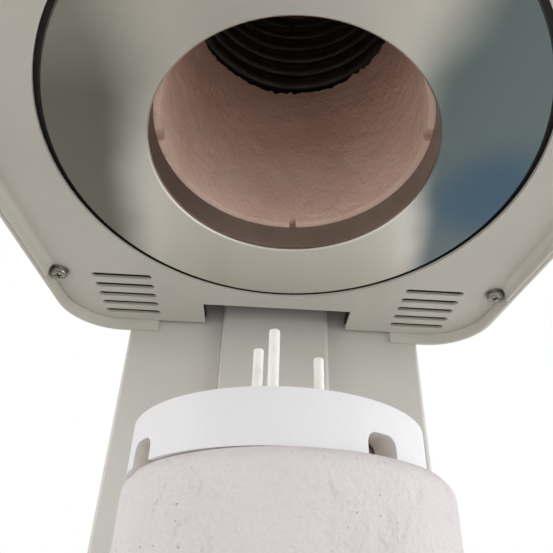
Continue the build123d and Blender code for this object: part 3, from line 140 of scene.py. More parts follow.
def addFloor():
    deselectAll()
    bpy.ops.mesh.primitive_plane_add(size=studio["floorWidth"], location=(0, 0, 0))
    floor = bpy.context.object
    floor.name = "paleFloor"
    finish = bpy.data.materials.new("paleFloor")
    finish.use_nodes = True
    shader = finish.node_tree.nodes["Principled BSDF"]
    shader.inputs["Base Color"].default_value = studio["floorColour"]
    shader.inputs["Roughness"].default_value = studio["floorRough"]
    floor.data.materials.append(finish)


bpy.context.scene.view_settings.view_transform = "Standard"
addCamera()
addLamps()
addWorld()
addFloor()
print("camera and light ready")

# shader groups


# takes and gives: (name, kind, value) and (name, kind)
def newGroup(name, takes, gives):
    tree = bpy.data.node_groups.new(name, "ShaderNodeTree")
    for label, kind, value in takes:
        socket = tree.interface.new_socket(label, in_out="INPUT", socket_type="NodeSocket" + kind)
        if value is not None:
            socket.default_value = value
    for label, kind in gives:
        tree.interface.new_socket(label, in_out="OUTPUT", socket_type="NodeSocket" + kind)
    return tree, tree.nodes.new("NodeGroupInput"), tree.nodes.new("NodeGroupOutput")


# a value goes into a socket, and a socket is linked to it
def feed(tree, socket, value):
    if isinstance(value, bpy.types.NodeSocket):
        tree.links.new(value, socket)
    else:
        socket.default_value = value


def put(tree, kind, values=None, **settings):
    item = tree.nodes.new("ShaderNode" + kind)
    for key, value in settings.items():
        setattr(item, key, value)
    for key, value in (values or {}).items():
        feed(tree, item.inputs[key], value)
    return item


def sums(tree, operation, first, second=None):
    values = {0: first}
    if second is not None:
        values[1] = second
    return put(tree, "Math", values, operation=operation).outputs[0]


def blendColour(tree, factor, first, second):
    item = tree.nodes.new("ShaderNodeMix")
    item.data_type = "RGBA"
    feed(tree, item.inputs[0], factor)
    feed(tree, item.inputs[6], first)
    feed(tree, item.inputs[7], second)
    return item.outputs[2]


def spread(tree, value, low, high, newLow, newHigh, curve="LINEAR"):
    values = {0: value, 1: low, 2: high, 3: newLow, 4: newHigh}
    return put(tree, "MapRange", values, interpolation_type=curve).outputs[0]


def noise(tree, place, scale, detail, rough=0.5):
    return put(tree, "TexNoise", {"Vector": place, "Scale": scale, "Detail": detail, "Roughness": rough})


# cloudy change between two colours, with a little fine speckle
def makeMottle():
    tree, takes, gives = newGroup(
        "mottle",
        [("Vector", "Vector", None), ("Light", "Color", (1, 1, 1, 1)), ("Dark", "Color", (0, 0, 0, 1)),
         ("Scale", "Float", 20.0), ("Fine Scale", "Float", 600.0), ("Fine Amount", "Float", 0.2)],
        [("Color", "Color"), ("Mask", "Float"), ("Fine", "Float")],
    )
    place = takes.outputs["Vector"]
    broad = noise(tree, place, takes.outputs["Scale"], 4.0, 0.6)
    fine = noise(tree, place, takes.outputs["Fine Scale"], 2.0, 0.55)
    mask = spread(tree, broad.outputs["Fac"], 0.35, 0.68, 0.0, 1.0)
    grain = spread(tree, fine.outputs["Fac"], 0.3, 0.7, -0.5, 0.5)
    mixed = sums(tree, "ADD", mask, sums(tree, "MULTIPLY", grain, takes.outputs["Fine Amount"]))
    clamp = put(tree, "Clamp", {"Value": mixed}).outputs[0]
    colour = blendColour(tree, clamp, takes.outputs["Light"], takes.outputs["Dark"])
    tree.links.new(colour, gives.inputs["Color"])
    tree.links.new(clamp, gives.inputs["Mask"])
    tree.links.new(fine.outputs["Fac"], gives.inputs["Fine"])
    return tree


# long fine scratches: noise stretched along one way
def makeBrushed():
    tree, takes, gives = newGroup(
        "brushed",
        [("Vector", "Vector", None), ("Stretch", "Vector", (20, 900, 900))],
        [("Height", "Float"), ("Tone", "Float")],
    )
    scaled = put(tree, "VectorMath", {0: takes.outputs["Vector"], 1: takes.outputs["Stretch"]},
                 operation="MULTIPLY").outputs[0]
    lines = noise(tree, scaled, 1.0, 3.0, 0.7)
    tree.links.new(lines.outputs["Fac"], gives.inputs["Height"])
    tree.links.new(spread(tree, lines.outputs["Fac"], 0.3, 0.7, 0.0, 1.0), gives.inputs["Tone"])
    return tree


# fine rings round the Z axis, as on a disc that was brushed while it turned
def makeTurned():
    tree, takes, gives = newGroup(
        "turned",
        [("Vector", "Vector", None), ("Ring Scale", "Float", 2500.0)],
        [("Ring", "Float")],
    )
    x, y, z = put(tree, "SeparateXYZ", {0: takes.outputs["Vector"]}).outputs
    square = sums(tree, "ADD", sums(tree, "MULTIPLY", x, x), sums(tree, "MULTIPLY", y, y))
    values = {"W": sums(tree, "SQRT", square), "Scale": takes.outputs["Ring Scale"], "Detail": 3.0}
    rings = put(tree, "TexNoise", values, noise_dimensions="1D")
    tree.links.new(rings.outputs["Fac"], gives.inputs["Ring"])
    return tree


pitShape = {
    "dentFrom": 0.52,
    "dentTo": 0.72,
    "bendScale": 500.0,
    "bend": 0.0022,  # how far a pore's outline strays, in metres
    "poreEdge": 0.05,
    "poreDepth": 0.8,
    "patchScale": 45.0,  # pores come in patches
    "patchFrom": 0.46,
    "patchTo": 0.68,
    "patchMost": 1.2,
}


# grains, soft dents and open pores of fired fibre and brick
def makePits():
    p = pitShape
    tree, takes, gives = newGroup(
        "pits",
        [("Vector", "Vector", None), ("Grain Scale", "Float", 400.0), ("Pore Scale", "Float", 180.0),
         ("Pore Size", "Float", 0.25), ("Dent Scale", "Float", 110.0), ("Dent Depth", "Float", 1.0)],
        [("Height", "Float"), ("Pore", "Float")],
    )
    place = takes.outputs["Vector"]
    grain = noise(tree, place, takes.outputs["Grain Scale"], 4.0, 0.6).outputs["Fac"]
    dents = noise(tree, place, takes.outputs["Dent Scale"], 2.0).outputs["Fac"]
    dents = spread(tree, dents, p["dentFrom"], p["dentTo"], 0.0, 1.0)
    dent = sums(tree, "MULTIPLY", dents, takes.outputs["Dent Depth"])
    stray = noise(tree, place, p["bendScale"], 2.0).outputs["Color"]
    moved = {0: stray, 1: (p["bend"],) * 3, 2: place}
    bent = put(tree, "VectorMath", moved, operation="MULTIPLY_ADD").outputs[0]
    cells = put(tree, "TexVoronoi", {"Vector": bent, "Scale": takes.outputs["Pore Scale"], "Randomness": 1.0})
    patch = noise(tree, place, p["patchScale"], 2.0).outputs["Fac"]
    patch = spread(tree, patch, p["patchFrom"], p["patchTo"], 0.0, p["patchMost"])
    size = sums(tree, "MULTIPLY", takes.outputs["Pore Size"], patch)
    within = sums(tree, "SUBTRACT", size, cells.outputs["Distance"])
    pore = spread(tree, within, 0.0, p["poreEdge"], 0.0, 1.0)
    sunk = sums(tree, "ADD", dent, sums(tree, "MULTIPLY", pore, p["poreDepth"]))
    tree.links.new(sums(tree, "SUBTRACT", grain, sunk), gives.inputs["Height"])
    tree.links.new(pore, gives.inputs["Pore"])
    return tree


groups = {"mottle": makeMottle(), "brushed": makeBrushed(), "turned": makeTurned(), "pits": makePits()}
print("shader groups ready")

# materials


# a material with its Principled shader, Object coordinates and plain shader values
def newMaterial(name, **plain):
    finish = bpy.data.materials.new(name)
    finish.use_nodes = True
    tree = finish.node_tree
    shader = tree.nodes["Principled BSDF"]
    for key, value in plain.items():
        shader.inputs[key].default_value = value
    spot = put(tree, "TexCoord").outputs["Object"]
    return finish, tree, shader, spot


def useGroup(tree, name, values):
    item = tree.nodes.new("ShaderNodeGroup")
    item.node_tree = groups[name]
    for key, value in values.items():
        feed(tree, item.inputs[key], value)
    return item


def mottle(tree, spot, light, dark, scale, fineScale, fineAmount):
    return useGroup(tree, "mottle", {"Vector": spot, "Light": light, "Dark": dark, "Scale": scale,
                                     "Fine Scale": fineScale, "Fine Amount": fineAmount})


def addBump(tree, shader, height, distance, strength=1.0, below=None):
    values = {"Height": height, "Distance": distance, "Strength": strength}
    if below is not None:
        values["Normal"] = below
    bump = put(tree, "Bump", values).outputs[0]
    tree.links.new(bump, shader.inputs["Normal"])


def toLinear(level):
    share = level / 255
    return share / 12.92 if share < 0.0404 else ((share + 0.055) / 1.055) ** 2.4


# a colour from 0 to 255 as the shader wants it
def rgb(red, green, blue):
    return (toLinear(red), toLinear(green), toLinear(blue), 1)


# a finish with cloudy tone, uneven gloss and a fine grain
def makePlain(name, light, dark, rough, metal=0.0, scale=25.0, grain=900.0, bump=0.00002):
    finish, tree, shader, spot = newMaterial(name, Metallic=metal)
    tone = mottle(tree, spot, light, dark, scale, grain, 0.25)
    tree.links.new(tone.outputs["Color"], shader.inputs["Base Color"])
    tree.links.new(spread(tree, tone.outputs["Mask"], 0.0, 1.0, *rough), shader.inputs["Roughness"])
    addBump(tree, shader, tone.outputs["Fine"], bump)
    return finish


paint = {
    "coat": {"Coat Weight": 0.15, "Coat Roughness": 0.25},
    "cloud": 14.0,
    "speckle": 1400.0,
    "speckleAmount": 0.35,
    "rough": (0.36, 0.46),
    "grainDepth": 0.000012,  # metres
    "peel": 700.0,
    "peelDepth": 0.00005,
    "peelStrength": 0.5,
}


# satin powder coat: orange peel, faint dust and a slight change of tone
def makePaint(name, light, dark):
    p = paint
    finish, tree, shader, spot = newMaterial(name, **p["coat"])
    tone = mottle(tree, spot, light, dark, p["cloud"], p["speckle"], p["speckleAmount"])
    tree.links.new(tone.outputs["Color"], shader.inputs["Base Color"])
    tree.links.new(spread(tree, tone.outputs["Mask"], 0.0, 1.0, *p["rough"]), shader.inputs["Roughness"])
    peel = noise(tree, spot, p["peel"], 2.0).outputs["Fac"]
    below = put(tree, "Bump", {"Height": tone.outputs["Fine"], "Distance": p["grainDepth"]}).outputs[0]
    addBump(tree, shader, peel, p["peelDepth"], p["peelStrength"], below)
    return finish


# painted reflections: these colours stand in for what the steel reflects, a bright middle, a darker rear,
# dark left and right sides and a cool patch
disc = {
    "middle": (238, 236, 229),
    "rear": (226, 220, 212),
    "rearFrom": 0.045,  # metres along Y
    "rearTo": 0.082,
    "left": (120, 120, 111),
    "leftEdge": 0.0503,  # from the axis, where the dark side comes nearest
    "leftWaist": -0.028,  # and the Y of that place
    "leftSlope": 0.175,
    "leftSoft": (0.0115, 0.0170),  # at the axis and at the front
    "leftFront": (152, 152, 143),  # the left side nearer the front
    "leftFrontFrom": -0.022,
    "leftFrontTo": -0.045,
    "right": (112, 126, 128),
    "rightEdge": 0.0398,
    "rightWaist": -0.035,
    "rightSlope": 0.21,
    "rightSoft": (0.0085, 0.0150),
    "patch": (80, 106, 126),  # painted cool reflection in the right side
    "patchMiddle": (0.077, 0.012, 0.348),
    "patchRadii": (0.034, 0.008),
    "softFront": -0.05,
    "cloud": 16.0,
    "sway": 0.004,  # how far the borders stray
    "ringScale": 2600.0,
    "ringTone": (120, 120, 116),
    "ringAmount": 0.10,
    "ringRough": (0.30, 0.40),
    "ringDepth": 0.000006,
}


# satin stainless with painted reflections: a bright middle and two darker sides, whose soft borders lean out
# to the rear
def makeDiscSteel(name="discSteelPaintedReflections"):
    d = disc
    finish, tree, shader, spot = newMaterial(name, Metallic=1.0)
    ring = useGroup(tree, "turned", {"Vector": spot, "Ring Scale": d["ringScale"]}).outputs["Ring"]
    x, y, z = put(tree, "SeparateXYZ", {0: spot}).outputs
    cloud = noise(tree, spot, d["cloud"], 2.0).outputs["Fac"]
    sway = spread(tree, cloud, 0.3, 0.7, -d["sway"], d["sway"])
    rear = spread(tree, y, d["rearFrom"], d["rearTo"], 0.0, 1.0)
    shade = blendColour(tree, rear, rgb(*d["middle"]), rgb(*d["rear"]))
    forward = spread(tree, y, d["leftFrontFrom"], d["leftFrontTo"], 0.0, 1.0)
    near = put(tree, "VectorMath", {0: spot, 1: d["patchMiddle"]}, operation="DISTANCE").outputs["Value"]
    coolReflection = spread(tree, near, *d["patchRadii"], 0.0, 1.0, "SMOOTHSTEP")
    paintedReflections = {
        "left": blendColour(tree, forward, rgb(*d["left"]), rgb(*d["leftFront"])),
        "right": blendColour(tree, coolReflection, rgb(*d["right"]), rgb(*d["patch"])),
    }
    for side, sign in (("left", -1), ("right", 1)):
        across = sums(tree, "ADD", sums(tree, "MULTIPLY", x, sign), sway)
        away = sums(tree, "ABSOLUTE", sums(tree, "SUBTRACT", y, d[side + "Waist"]))
        reach = sums(tree, "SUBTRACT", across, sums(tree, "MULTIPLY", away, d[side + "Slope"]))
        soft = spread(tree, y, 0.0, d["softFront"], *d[side + "Soft"])
        past = sums(tree, "DIVIDE", sums(tree, "SUBTRACT", reach, d[side + "Edge"]), soft)
        reflectionBand = spread(tree, past, -1.0, 1.0, 0.0, 1.0, "SMOOTHSTEP")
        shade = blendColour(tree, reflectionBand, shade, paintedReflections[side])
    fine = blendColour(tree, sums(tree, "MULTIPLY", ring, d["ringAmount"]), shade, rgb(*d["ringTone"]))
    tree.links.new(fine, shader.inputs["Base Color"])
    tree.links.new(spread(tree, ring, 0.3, 0.7, *d["ringRough"]), shader.inputs["Roughness"])
    addBump(tree, shader, ring, d["ringDepth"])
    return finish


def makeBrushedSteel(name, light, dark, stretch, rough=(0.28, 0.42), depth=0.000008):
    finish, tree, shader, spot = newMaterial(name, Metallic=1.0)
    brushed = useGroup(tree, "brushed", {"Vector": spot, "Stretch": stretch})
    tone = mottle(tree, spot, light, dark, 18.0, 900.0, 0.1).outputs["Color"]
    worn = blendColour(tree, sums(tree, "MULTIPLY", brushed.outputs["Tone"], 0.25), tone, dark)
    tree.links.new(worn, shader.inputs["Base Color"])
    tree.links.new(spread(tree, brushed.outputs["Tone"], 0.0, 1.0, *rough), shader.inputs["Roughness"])
    addBump(tree, shader, brushed.outputs["Height"], depth)
    return finish


mouth = {
    "metal": 0.3,
    "light": (150, 134, 122),
    "dark": (132, 116, 105),
    "line": (120, 106, 96),
    "lineAmount": 0.2,
    "left": (92, 78, 70),  # painted shade: darker and browner on its left
    "leftFrom": -0.015,
    "leftTo": -0.045,
    "leftAmount": 0.85,
    "rough": (0.52, 0.66),
    "depth": 0.000006,
}


# the mouth's wall: steel dulled by heat, so it is only part metal
def makeMouthSteel(name="mouthSteel"):
    m = mouth
    finish, tree, shader, spot = newMaterial(name, Metallic=m["metal"])
    brushed = useGroup(tree, "brushed", {"Vector": spot, "Stretch": (30, 30, 1800)})
    tone = mottle(tree, spot, rgb(*m["light"]), rgb(*m["dark"]), 22.0, 900.0, 0.2).outputs["Color"]
    lines = sums(tree, "MULTIPLY", brushed.outputs["Tone"], m["lineAmount"])
    worn = blendColour(tree, lines, tone, rgb(*m["line"]))
    x = put(tree, "SeparateXYZ", {0: spot}).outputs[0]
    # painted shade: the wall darkens towards its left
    leftShade = spread(tree, x, m["leftFrom"], m["leftTo"], 0.0, m["leftAmount"])
    tree.links.new(blendColour(tree, leftShade, worn, rgb(*m["left"])), shader.inputs["Base Color"])
    tree.links.new(spread(tree, brushed.outputs["Tone"], 0.0, 1.0, *m["rough"]), shader.inputs["Roughness"])
    addBump(tree, shader, brushed.outputs["Height"], m["depth"])
    return finish


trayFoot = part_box("firing_tray")[0][2]
firedLooks = {
    "brick": {
        "light": (224, 219, 221), "dark": (216, 210, 212), "pore": (194, 186, 186), "rough": 0.95,
        "grain": 800.0, "pores": 420.0, "poreSize": 0.09, "poreTone": 0.25,
        "dents": 150.0, "dentDepth": 1.1, "cloud": 24.0, "depth": 0.0004,
        # the boss's stain colours are painted lighter against the shade inside the tray's arches
        "stainFrom": trayFoot + 0.0006, "litStainLight": (228, 216, 204), "litStainDark": (196, 182, 169),
    },
    "tray": {
        "light": (232, 232, 235), "dark": (226, 226, 229), "pore": (196, 188, 180), "rough": 0.7,
        "grain": 1100.0, "pores": 300.0, "poreSize": 0.04, "poreTone": 0.3,
        "dents": 90.0, "dentDepth": 0.15, "cloud": 18.0, "depth": 0.00007,
        # painted shade: a brown tint inside the arches
        "archShadeTint": (236, 229, 221), "archAxis": (-0.0026, 0, 0), "archReach": (0.0346, 0.0354),
        "archTop": trayFoot + 0.0056,
    },
    "fibre": {
        "light": (244, 215, 202), "dark": (230, 198, 184), "pore": (164, 138, 125), "rough": 0.95,
        "grain": 560.0, "pores": 380.0, "poreSize": 0.15, "poreTone": 0.5,
        "dents": 240.0, "dentDepth": 0.5, "cloud": 34.0, "depth": 0.00045,
    },
}
stainEdge = 0.0004


# fibre, brick and tray: pale colour, grain, soft dents, a few open pores darkened as painted shade, a stain
# painted lighter on the brick's boss and a painted shade tint inside the tray's arches
def makeFired(name, look):
    f = firedLooks[look]
    finish, tree, shader, spot = newMaterial(name, **{"Roughness": f["rough"], "Specular IOR Level": 0.2})
    pits = useGroup(tree, "pits", {"Vector": spot, "Grain Scale": f["grain"], "Pore Scale": f["pores"],
                                   "Pore Size": f["poreSize"], "Dent Scale": f["dents"],
                                   "Dent Depth": f["dentDepth"]})
    tone = mottle(tree, spot, rgb(*f["light"]), rgb(*f["dark"]), f["cloud"], f["grain"] * 1.7, 0.5)
    # painted shade: open pores are darker
    pore = sums(tree, "MULTIPLY", pits.outputs["Pore"], f["poreTone"])
    colour = blendColour(tree, pore, tone.outputs["Color"], rgb(*f["pore"]))
    height = put(tree, "SeparateXYZ", {0: spot}).outputs[2]
    if "stainFrom" in f:  # brown-grey above this height: a stain on the boss, painted lighter against the shade inside the arches
        above = spread(tree, height, f["stainFrom"], f["stainFrom"] + stainEdge, 0.0, 1.0)
        litStain = blendColour(tree, tone.outputs["Mask"], rgb(*f["litStainLight"]), rgb(*f["litStainDark"]))
        colour = blendColour(tree, above, colour, litStain)
    if "archShadeTint" in f:  # painted shade: the inside of the arches is tinted brown
        flat = put(tree, "VectorMath", {0: spot, 1: (1, 1, 0)}, operation="MULTIPLY").outputs[0]
        out = put(tree, "VectorMath", {0: flat, 1: f["archAxis"]}, operation="DISTANCE").outputs["Value"]
        inside = spread(tree, out, *f["archReach"], 1.0, 0.0)
        low = spread(tree, height, f["archTop"], f["archTop"] + stainEdge, 1.0, 0.0)
        colour = blendColour(tree, sums(tree, "MULTIPLY", inside, low), colour, rgb(*f["archShadeTint"]))
    tree.links.new(colour, shader.inputs["Base Color"])
    addBump(tree, shader, pits.outputs["Height"], f["depth"])
    return finish


# solder mask with rows of tinned pads
def makeBoard(name="greenBoard"):
    finish, tree, shader, spot = newMaterial(name, Roughness=0.4)
    scaled = put(tree, "VectorMath", {0: spot, "Scale": 400.0}, operation="SCALE").outputs[0]
    cell = put(tree, "TexVoronoi", {"Vector": scaled, "Scale": 1.0, "Randomness": 0.35})
    pad = sums(tree, "LESS_THAN", cell.outputs["Distance"], 0.22)
    run = put(tree, "TexBrick", {"Vector": scaled, "Color1": rgb(16, 82, 44), "Color2": rgb(12, 70, 38),
                                 "Mortar": rgb(30, 110, 62), "Scale": 0.35, "Mortar Size": 0.03})
    tinned = blendColour(tree, pad, run.outputs["Color"], rgb(178, 176, 160))
    tree.links.new(tinned, shader.inputs["Base Color"])
    tree.links.new(sums(tree, "MULTIPLY", pad, 0.8), shader.inputs["Metallic"])
    addBump(tree, shader, pad, 0.00008)
    return finish


# X, Y, Z as seen from a node's own upright axis
def axisSplit(tree, spot, node):
    low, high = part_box(node)
    middle = (-(low[0] + high[0]) / 2, -(low[1] + high[1]) / 2, 0.0)
    move = put(tree, "Mapping", {"Vector": spot, "Location": middle})
    return put(tree, "SeparateXYZ", {0: move.outputs[0]}).outputs


# a toroid wound with amber film: strips that lean round the ring
def makeWinding(name="amberWinding", strips=44):
    finish, tree, shader, spot = newMaterial(name, Roughness=0.35)
    x, y, z = axisSplit(tree, spot, "transformer")
    turns = sums(tree, "SINE", sums(tree, "MULTIPLY", sums(tree, "ARCTAN2", y, x), strips))
    tone = spread(tree, turns, -1.0, 1.0, 0.0, 1.0)
    tree.links.new(blendColour(tree, tone, rgb(150, 104, 36), rgb(188, 142, 62)), shader.inputs["Base Color"])
    addBump(tree, shader, tone, 0.0003)
    return finish


# the lead screw's thread: ridges that climb round its axis, painted dark in the grooves as shade and light on
# the crests as highlight
def makeThread(name="leadThread", lead=0.008, starts=4):
    finish, tree, shader, spot = newMaterial(name, Metallic=1.0)
    x, y, z = axisSplit(tree, spot, "lead_screw")
    climb = sums(tree, "MULTIPLY", z, 2 * math.pi * starts / lead)
    phase = sums(tree, "SUBTRACT", climb, sums(tree, "MULTIPLY", sums(tree, "ARCTAN2", y, x), starts))
    ridge = spread(tree, sums(tree, "SINE", phase), -0.6, 0.6, 0.0, 1.0)
    tree.links.new(blendColour(tree, ridge, rgb(92, 92, 94), rgb(204, 205, 207)), shader.inputs["Base Color"])
    tree.links.new(spread(tree, ridge, 0.0, 1.0, 0.5, 0.24), shader.inputs["Roughness"])
    addBump(tree, shader, ridge, 0.0006)
    return finish


def makeGlass(name="displayGlass"):
    finish, tree, shader, spot = newMaterial(name, Alpha=0.72, Metallic=0.0)
    dust = mottle(tree, spot, rgb(14, 17, 20), rgb(24, 28, 32), 30.0, 1500.0, 0.2)
    tree.links.new(dust.outputs["Color"], shader.inputs["Base Color"])
    tree.links.new(spread(tree, dust.outputs["Mask"], 0.0, 1.0, 0.04, 0.12), shader.inputs["Roughness"])
    return finish


brushedLooks = {  # key: name, light, dark, stretch, gloss
    "stainless": ("brushedStainless", (200, 200, 196), (160, 160, 156), (40, 900, 900), (0.28, 0.42)),
    "ground": ("groundSteel", (205, 206, 208), (160, 162, 166), (900, 900, 60), (0.15, 0.28)),
    "aluminium": ("milledAluminium", (205, 206, 208), (170, 172, 176), (900, 60, 900), (0.3, 0.45)),
}

plainLooks = {  # key: name, light, dark, gloss, metal, cloud, grain, grain depth
    "zinc": ("zincSheet", (172, 174, 170), (142, 145, 144), (0.34, 0.5), 1.0, 90.0, 700.0, 0.00002),
    # painted shade: the column frame is made dark so that the slots in the column covers look dark
    "frameSlotShade": ("frameSlotShadeDark", (74, 73, 71), (56, 55, 54), (0.6, 0.8), 0.3, 90.0, 700.0, 0.00002),
    "fastener": ("platedFastener", (178, 175, 168), (118, 115, 110), (0.16, 0.32), 1.0, 260.0, 2200.0,
                 0.00002),
    "brass": ("turnedBrass", (208, 172, 98), (168, 132, 70), (0.2, 0.38), 1.0, 60.0, 1500.0, 0.00002),
    "rubber": ("blackRubber", (30, 30, 31), (44, 44, 45), (0.7, 0.85), 0.0, 60.0, 1100.0, 0.00008),
    "silicone": ("redSilicone", (150, 58, 42), (124, 44, 32), (0.45, 0.6), 0.0, 70.0, 1200.0, 0.00003),
    "panel": ("darkPanel", (58, 61, 65), (49, 52, 56), (0.42, 0.55), 0.0, 30.0, 1800.0, 0.00004),
    "keyLight": ("paleKey", (196, 198, 198), (180, 183, 184), (0.4, 0.55), 0.0, 80.0, 1900.0, 0.00003),
    "keyGreen": ("greenKey", (62, 142, 84), (50, 124, 70), (0.4, 0.55), 0.0, 80.0, 1900.0, 0.00003),
    "keyRed": ("redKey", (176, 54, 46), (154, 44, 38), (0.4, 0.55), 0.0, 80.0, 1900.0, 0.00003),
    "keyMark": ("keyMark", (240, 240, 236), (222, 222, 218), (0.4, 0.5), 0.0, 90.0, 1500.0, 0.00002),
    "black": ("blackMoulding", (30, 31, 32), (40, 41, 43), (0.4, 0.6), 0.0, 60.0, 1600.0, 0.00004),
    "motor": ("motorEnamel", (28, 28, 30), (42, 42, 44), (0.3, 0.5), 0.0, 60.0, 900.0, 0.00003),
    "peg": ("pegCeramic", (244, 242, 240), (232, 230, 226), (0.25, 0.4), 0.0, 120.0, 1600.0, 0.00002),
    # painted shade: the head frame is made near black so that the vent slots beneath it look dark
    "headSlotShade": ("headSlotShadeDark", (52, 52, 52), (40, 40, 41), (0.6, 0.8), 0.0, 70.0, 900.0, 0.00003),
    # painted shade: the muffle casing is made black so that the gap round the disc looks dark
    "casing": ("gapShadeBlack", (44, 42, 41), (32, 31, 30), (0.5, 0.7), 0.0, 50.0, 900.0, 0.00003),
    "element": ("glazedElement", (46, 41, 36), (28, 25, 23), (0.28, 0.5), 0.0, 130.0, 1300.0, 0.00006),
}

materials = {
    "paint": makePaint("warmGreyPaint", rgb(205, 202, 194), rgb(198, 195, 187)),
    "columnPaint": makePaint("greyPaint", rgb(201, 199, 194), rgb(194, 192, 187)),
    "disc": makeDiscSteel(),
    "mouth": makeMouthSteel(),
    "board": makeBoard(),
    "winding": makeWinding(),
    "glass": makeGlass(),
    "thread": makeThread(),
    "brick": makeFired("insulatingBrick", "brick"),
    "tray": makeFired("trayCeramic", "tray"),
    "fibre": makeFired("muffleFibre", "fibre"),
}
for key, (name, light, dark, stretch, rough) in brushedLooks.items():
    materials[key] = makeBrushedSteel(name, rgb(*light), rgb(*dark), stretch, rough)
for key, (name, light, dark, *rest) in plainLooks.items():
    materials[key] = makePlain(name, rgb(*light), rgb(*dark), *rest)

nodeFinishes = {
    "paint": ("base_shell", "rear_panel", "head_shell", "head_top_cover", "floor_plate"),
    "columnPaint": ("column_front_cover", "column_rear_cover", "lift_strip"),
    "disc": ("steel_disc",),
    "mouth": ("mouth_ring",),
    "board": ("panel_board", "control_board"),
    "winding": ("transformer",),
    "glass": ("display_window",),
    "thread": ("lead_screw",),
    "brick": ("insulation_block",),
    "tray": ("firing_tray",),
    "fibre": ("fibre_collar", "fibre_lining", "fibre_roof"),
    "stainless": ("vacuum_pipe", "seal_plate", "casing_lid"),
    "ground": ("guide_rods", "screw_bearings", "motor_shaft", "linear_bushes"),
    "aluminium": ("lower_bearing_plate", "upper_bearing_plate", "shaft_coupling", "carriage", "lift_arm"),
    "zinc": ("floor_pan",),
    # painted shade: dark column frame for the shade in the column's slots
    "frameSlotShade": ("column_frame",),
    "fastener": ("arm_screws", "head_bolts", "plate_screws"),
    "brass": ("vacuum_nipple", "screw_nut"),
    "rubber": ("rubber_feet",),
    "silicone": ("seal_ring",),
    "panel": ("control_panel",),
    "keyLight": ("lift_up_key", "lift_down_key"),
    "keyGreen": ("start_key",),
    "keyRed": ("stop_key",),
    "black": ("mains_inlet", "power_switch_frame", "power_rocker", "fuse_holder", "vacuum_valve",
              "limit_sensors"),
    "motor": ("lift_motor",),
    "peg": ("firing_pegs", "thermocouple"),
    # painted shade: near black head frame for the shade in the vent slots
    "headSlotShade": ("head_frame",),
    # painted shade: black muffle casing for the shade in the gap round the disc
    "casing": ("muffle_casing",),
    "element": ("heating_coil", "coil_terminals"),
}


def dressNodes():
    for finish, names in nodeFinishes.items():
        for name in names:
            slots = cadNodes[name].data.materials
            slots.clear()
            slots.append(materials[finish])


dressNodes()
print("materials ready:", len(materials))

# making pieces


def selectOnly(item):
    deselectAll()
    item.select_set(True)
    bpy.context.view_layer.objects.active = item


# places go into the mesh and the object goes to the origin
def settle(item):
    selectOnly(item)
    bpy.ops.object.transform_apply(location=True, rotation=True, scale=True)


def smooth(item, angle):
    selectOnly(item)
    bpy.ops.object.shade_smooth_by_angle(angle=math.radians(angle))


def applyAll(item):
    selectOnly(item)
    for modifier in list(item.modifiers):
        bpy.ops.object.modifier_apply(modifier=modifier.name)


def finishPiece(item, body, slotName, finish, *replaced):
    item.data.materials.clear()
    item.data.materials.append(materials[finish])
    settle(item)
    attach(item, body)
    if replaced:
        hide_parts(*replaced)


# a chain of edges in the XZ plane through (radius, height) points
def drawProfile(name, points):
    deselectAll()
    bpy.ops.mesh.primitive_plane_add(size=0.01, location=(0, 0, 0))
    item = bpy.context.object
    item.name = name
    bpy.ops.object.mode_set(mode="EDIT")
    bpy.ops.mesh.select_all(action="SELECT")
    bpy.ops.mesh.merge(type="CENTER")
    bpy.ops.transform.translate(value=(points[0][0], 0, points[0][1]))
    for (x0, z0), (x1, z1) in zip(points, points[1:]):
        bpy.ops.mesh.extrude_vertices_move(TRANSFORM_OT_translate={"value": (x1 - x0, 0, z1 - z0)})
    bpy.ops.object.mode_set(mode="OBJECT")
    return item


# joins what meets and turns all faces outwards, in edit mode
def mendMesh():
    bpy.ops.mesh.select_all(action="SELECT")
    bpy.ops.mesh.remove_doubles(threshold=0.00001)
    bpy.ops.mesh.normals_make_consistent(inside=False)
    bpy.ops.object.mode_set(mode="OBJECT")


# spins the profile once round Z and closes it
def spinRound(item, steps):
    selectOnly(item)
    bpy.ops.object.mode_set(mode="EDIT")
    bpy.ops.mesh.select_all(action="SELECT")
    bpy.ops.mesh.spin(steps=steps, angle=2 * math.pi, center=(0, 0, 0), axis=(0, 0, 1))
    mendMesh()


# the same path with its long runs divided
def stepped(points, longest):
    path = [points[0]]
    for (x0, z0), (x1, z1) in zip(points, points[1:]):
        parts = max(1, round(math.hypot(x1 - x0, z1 - z0) / longest))
        path += [(x0 + (x1 - x0) * i / parts, z0 + (z1 - z0) * i / parts) for i in range(1, parts + 1)]
    return path


# a modifier that pushes the vertices of a group with a cloud texture
def addPush(item, area, depth, size, noiseDepth, mid=0.5):
    cloud = bpy.data.textures.new(item.name + "Cloud", "CLOUDS")
    cloud.noise_scale = size
    cloud.noise_depth = noiseDepth
    push = item.modifiers.new(area, "DISPLACE")
    push.texture = cloud
    push.texture_coords = "LOCAL"
    push.vertex_group = area
    push.strength = depth
    push.mid_level = mid
    return push


def roughen(item, chosen, depth, size, mid=0.5):
    area = item.vertex_groups.new(name="rough")
    area.add([v.index for v in item.data.vertices if chosen(v.co)], 1.0, "REPLACE")
    addPush(item, "rough", depth, size, 3, mid)
    applyAll(item)
    item.vertex_groups.clear()


def radius(point):
    return math.hypot(point[0], point[1])


def cutAway(item, cutter):
    cut = item.modifiers.new("cut", "BOOLEAN")
    cut.object = cutter
    cut.operation = "DIFFERENCE"
    cut.solver = "EXACT"
    applyAll(item)
    bpy.data.objects.remove(cutter)


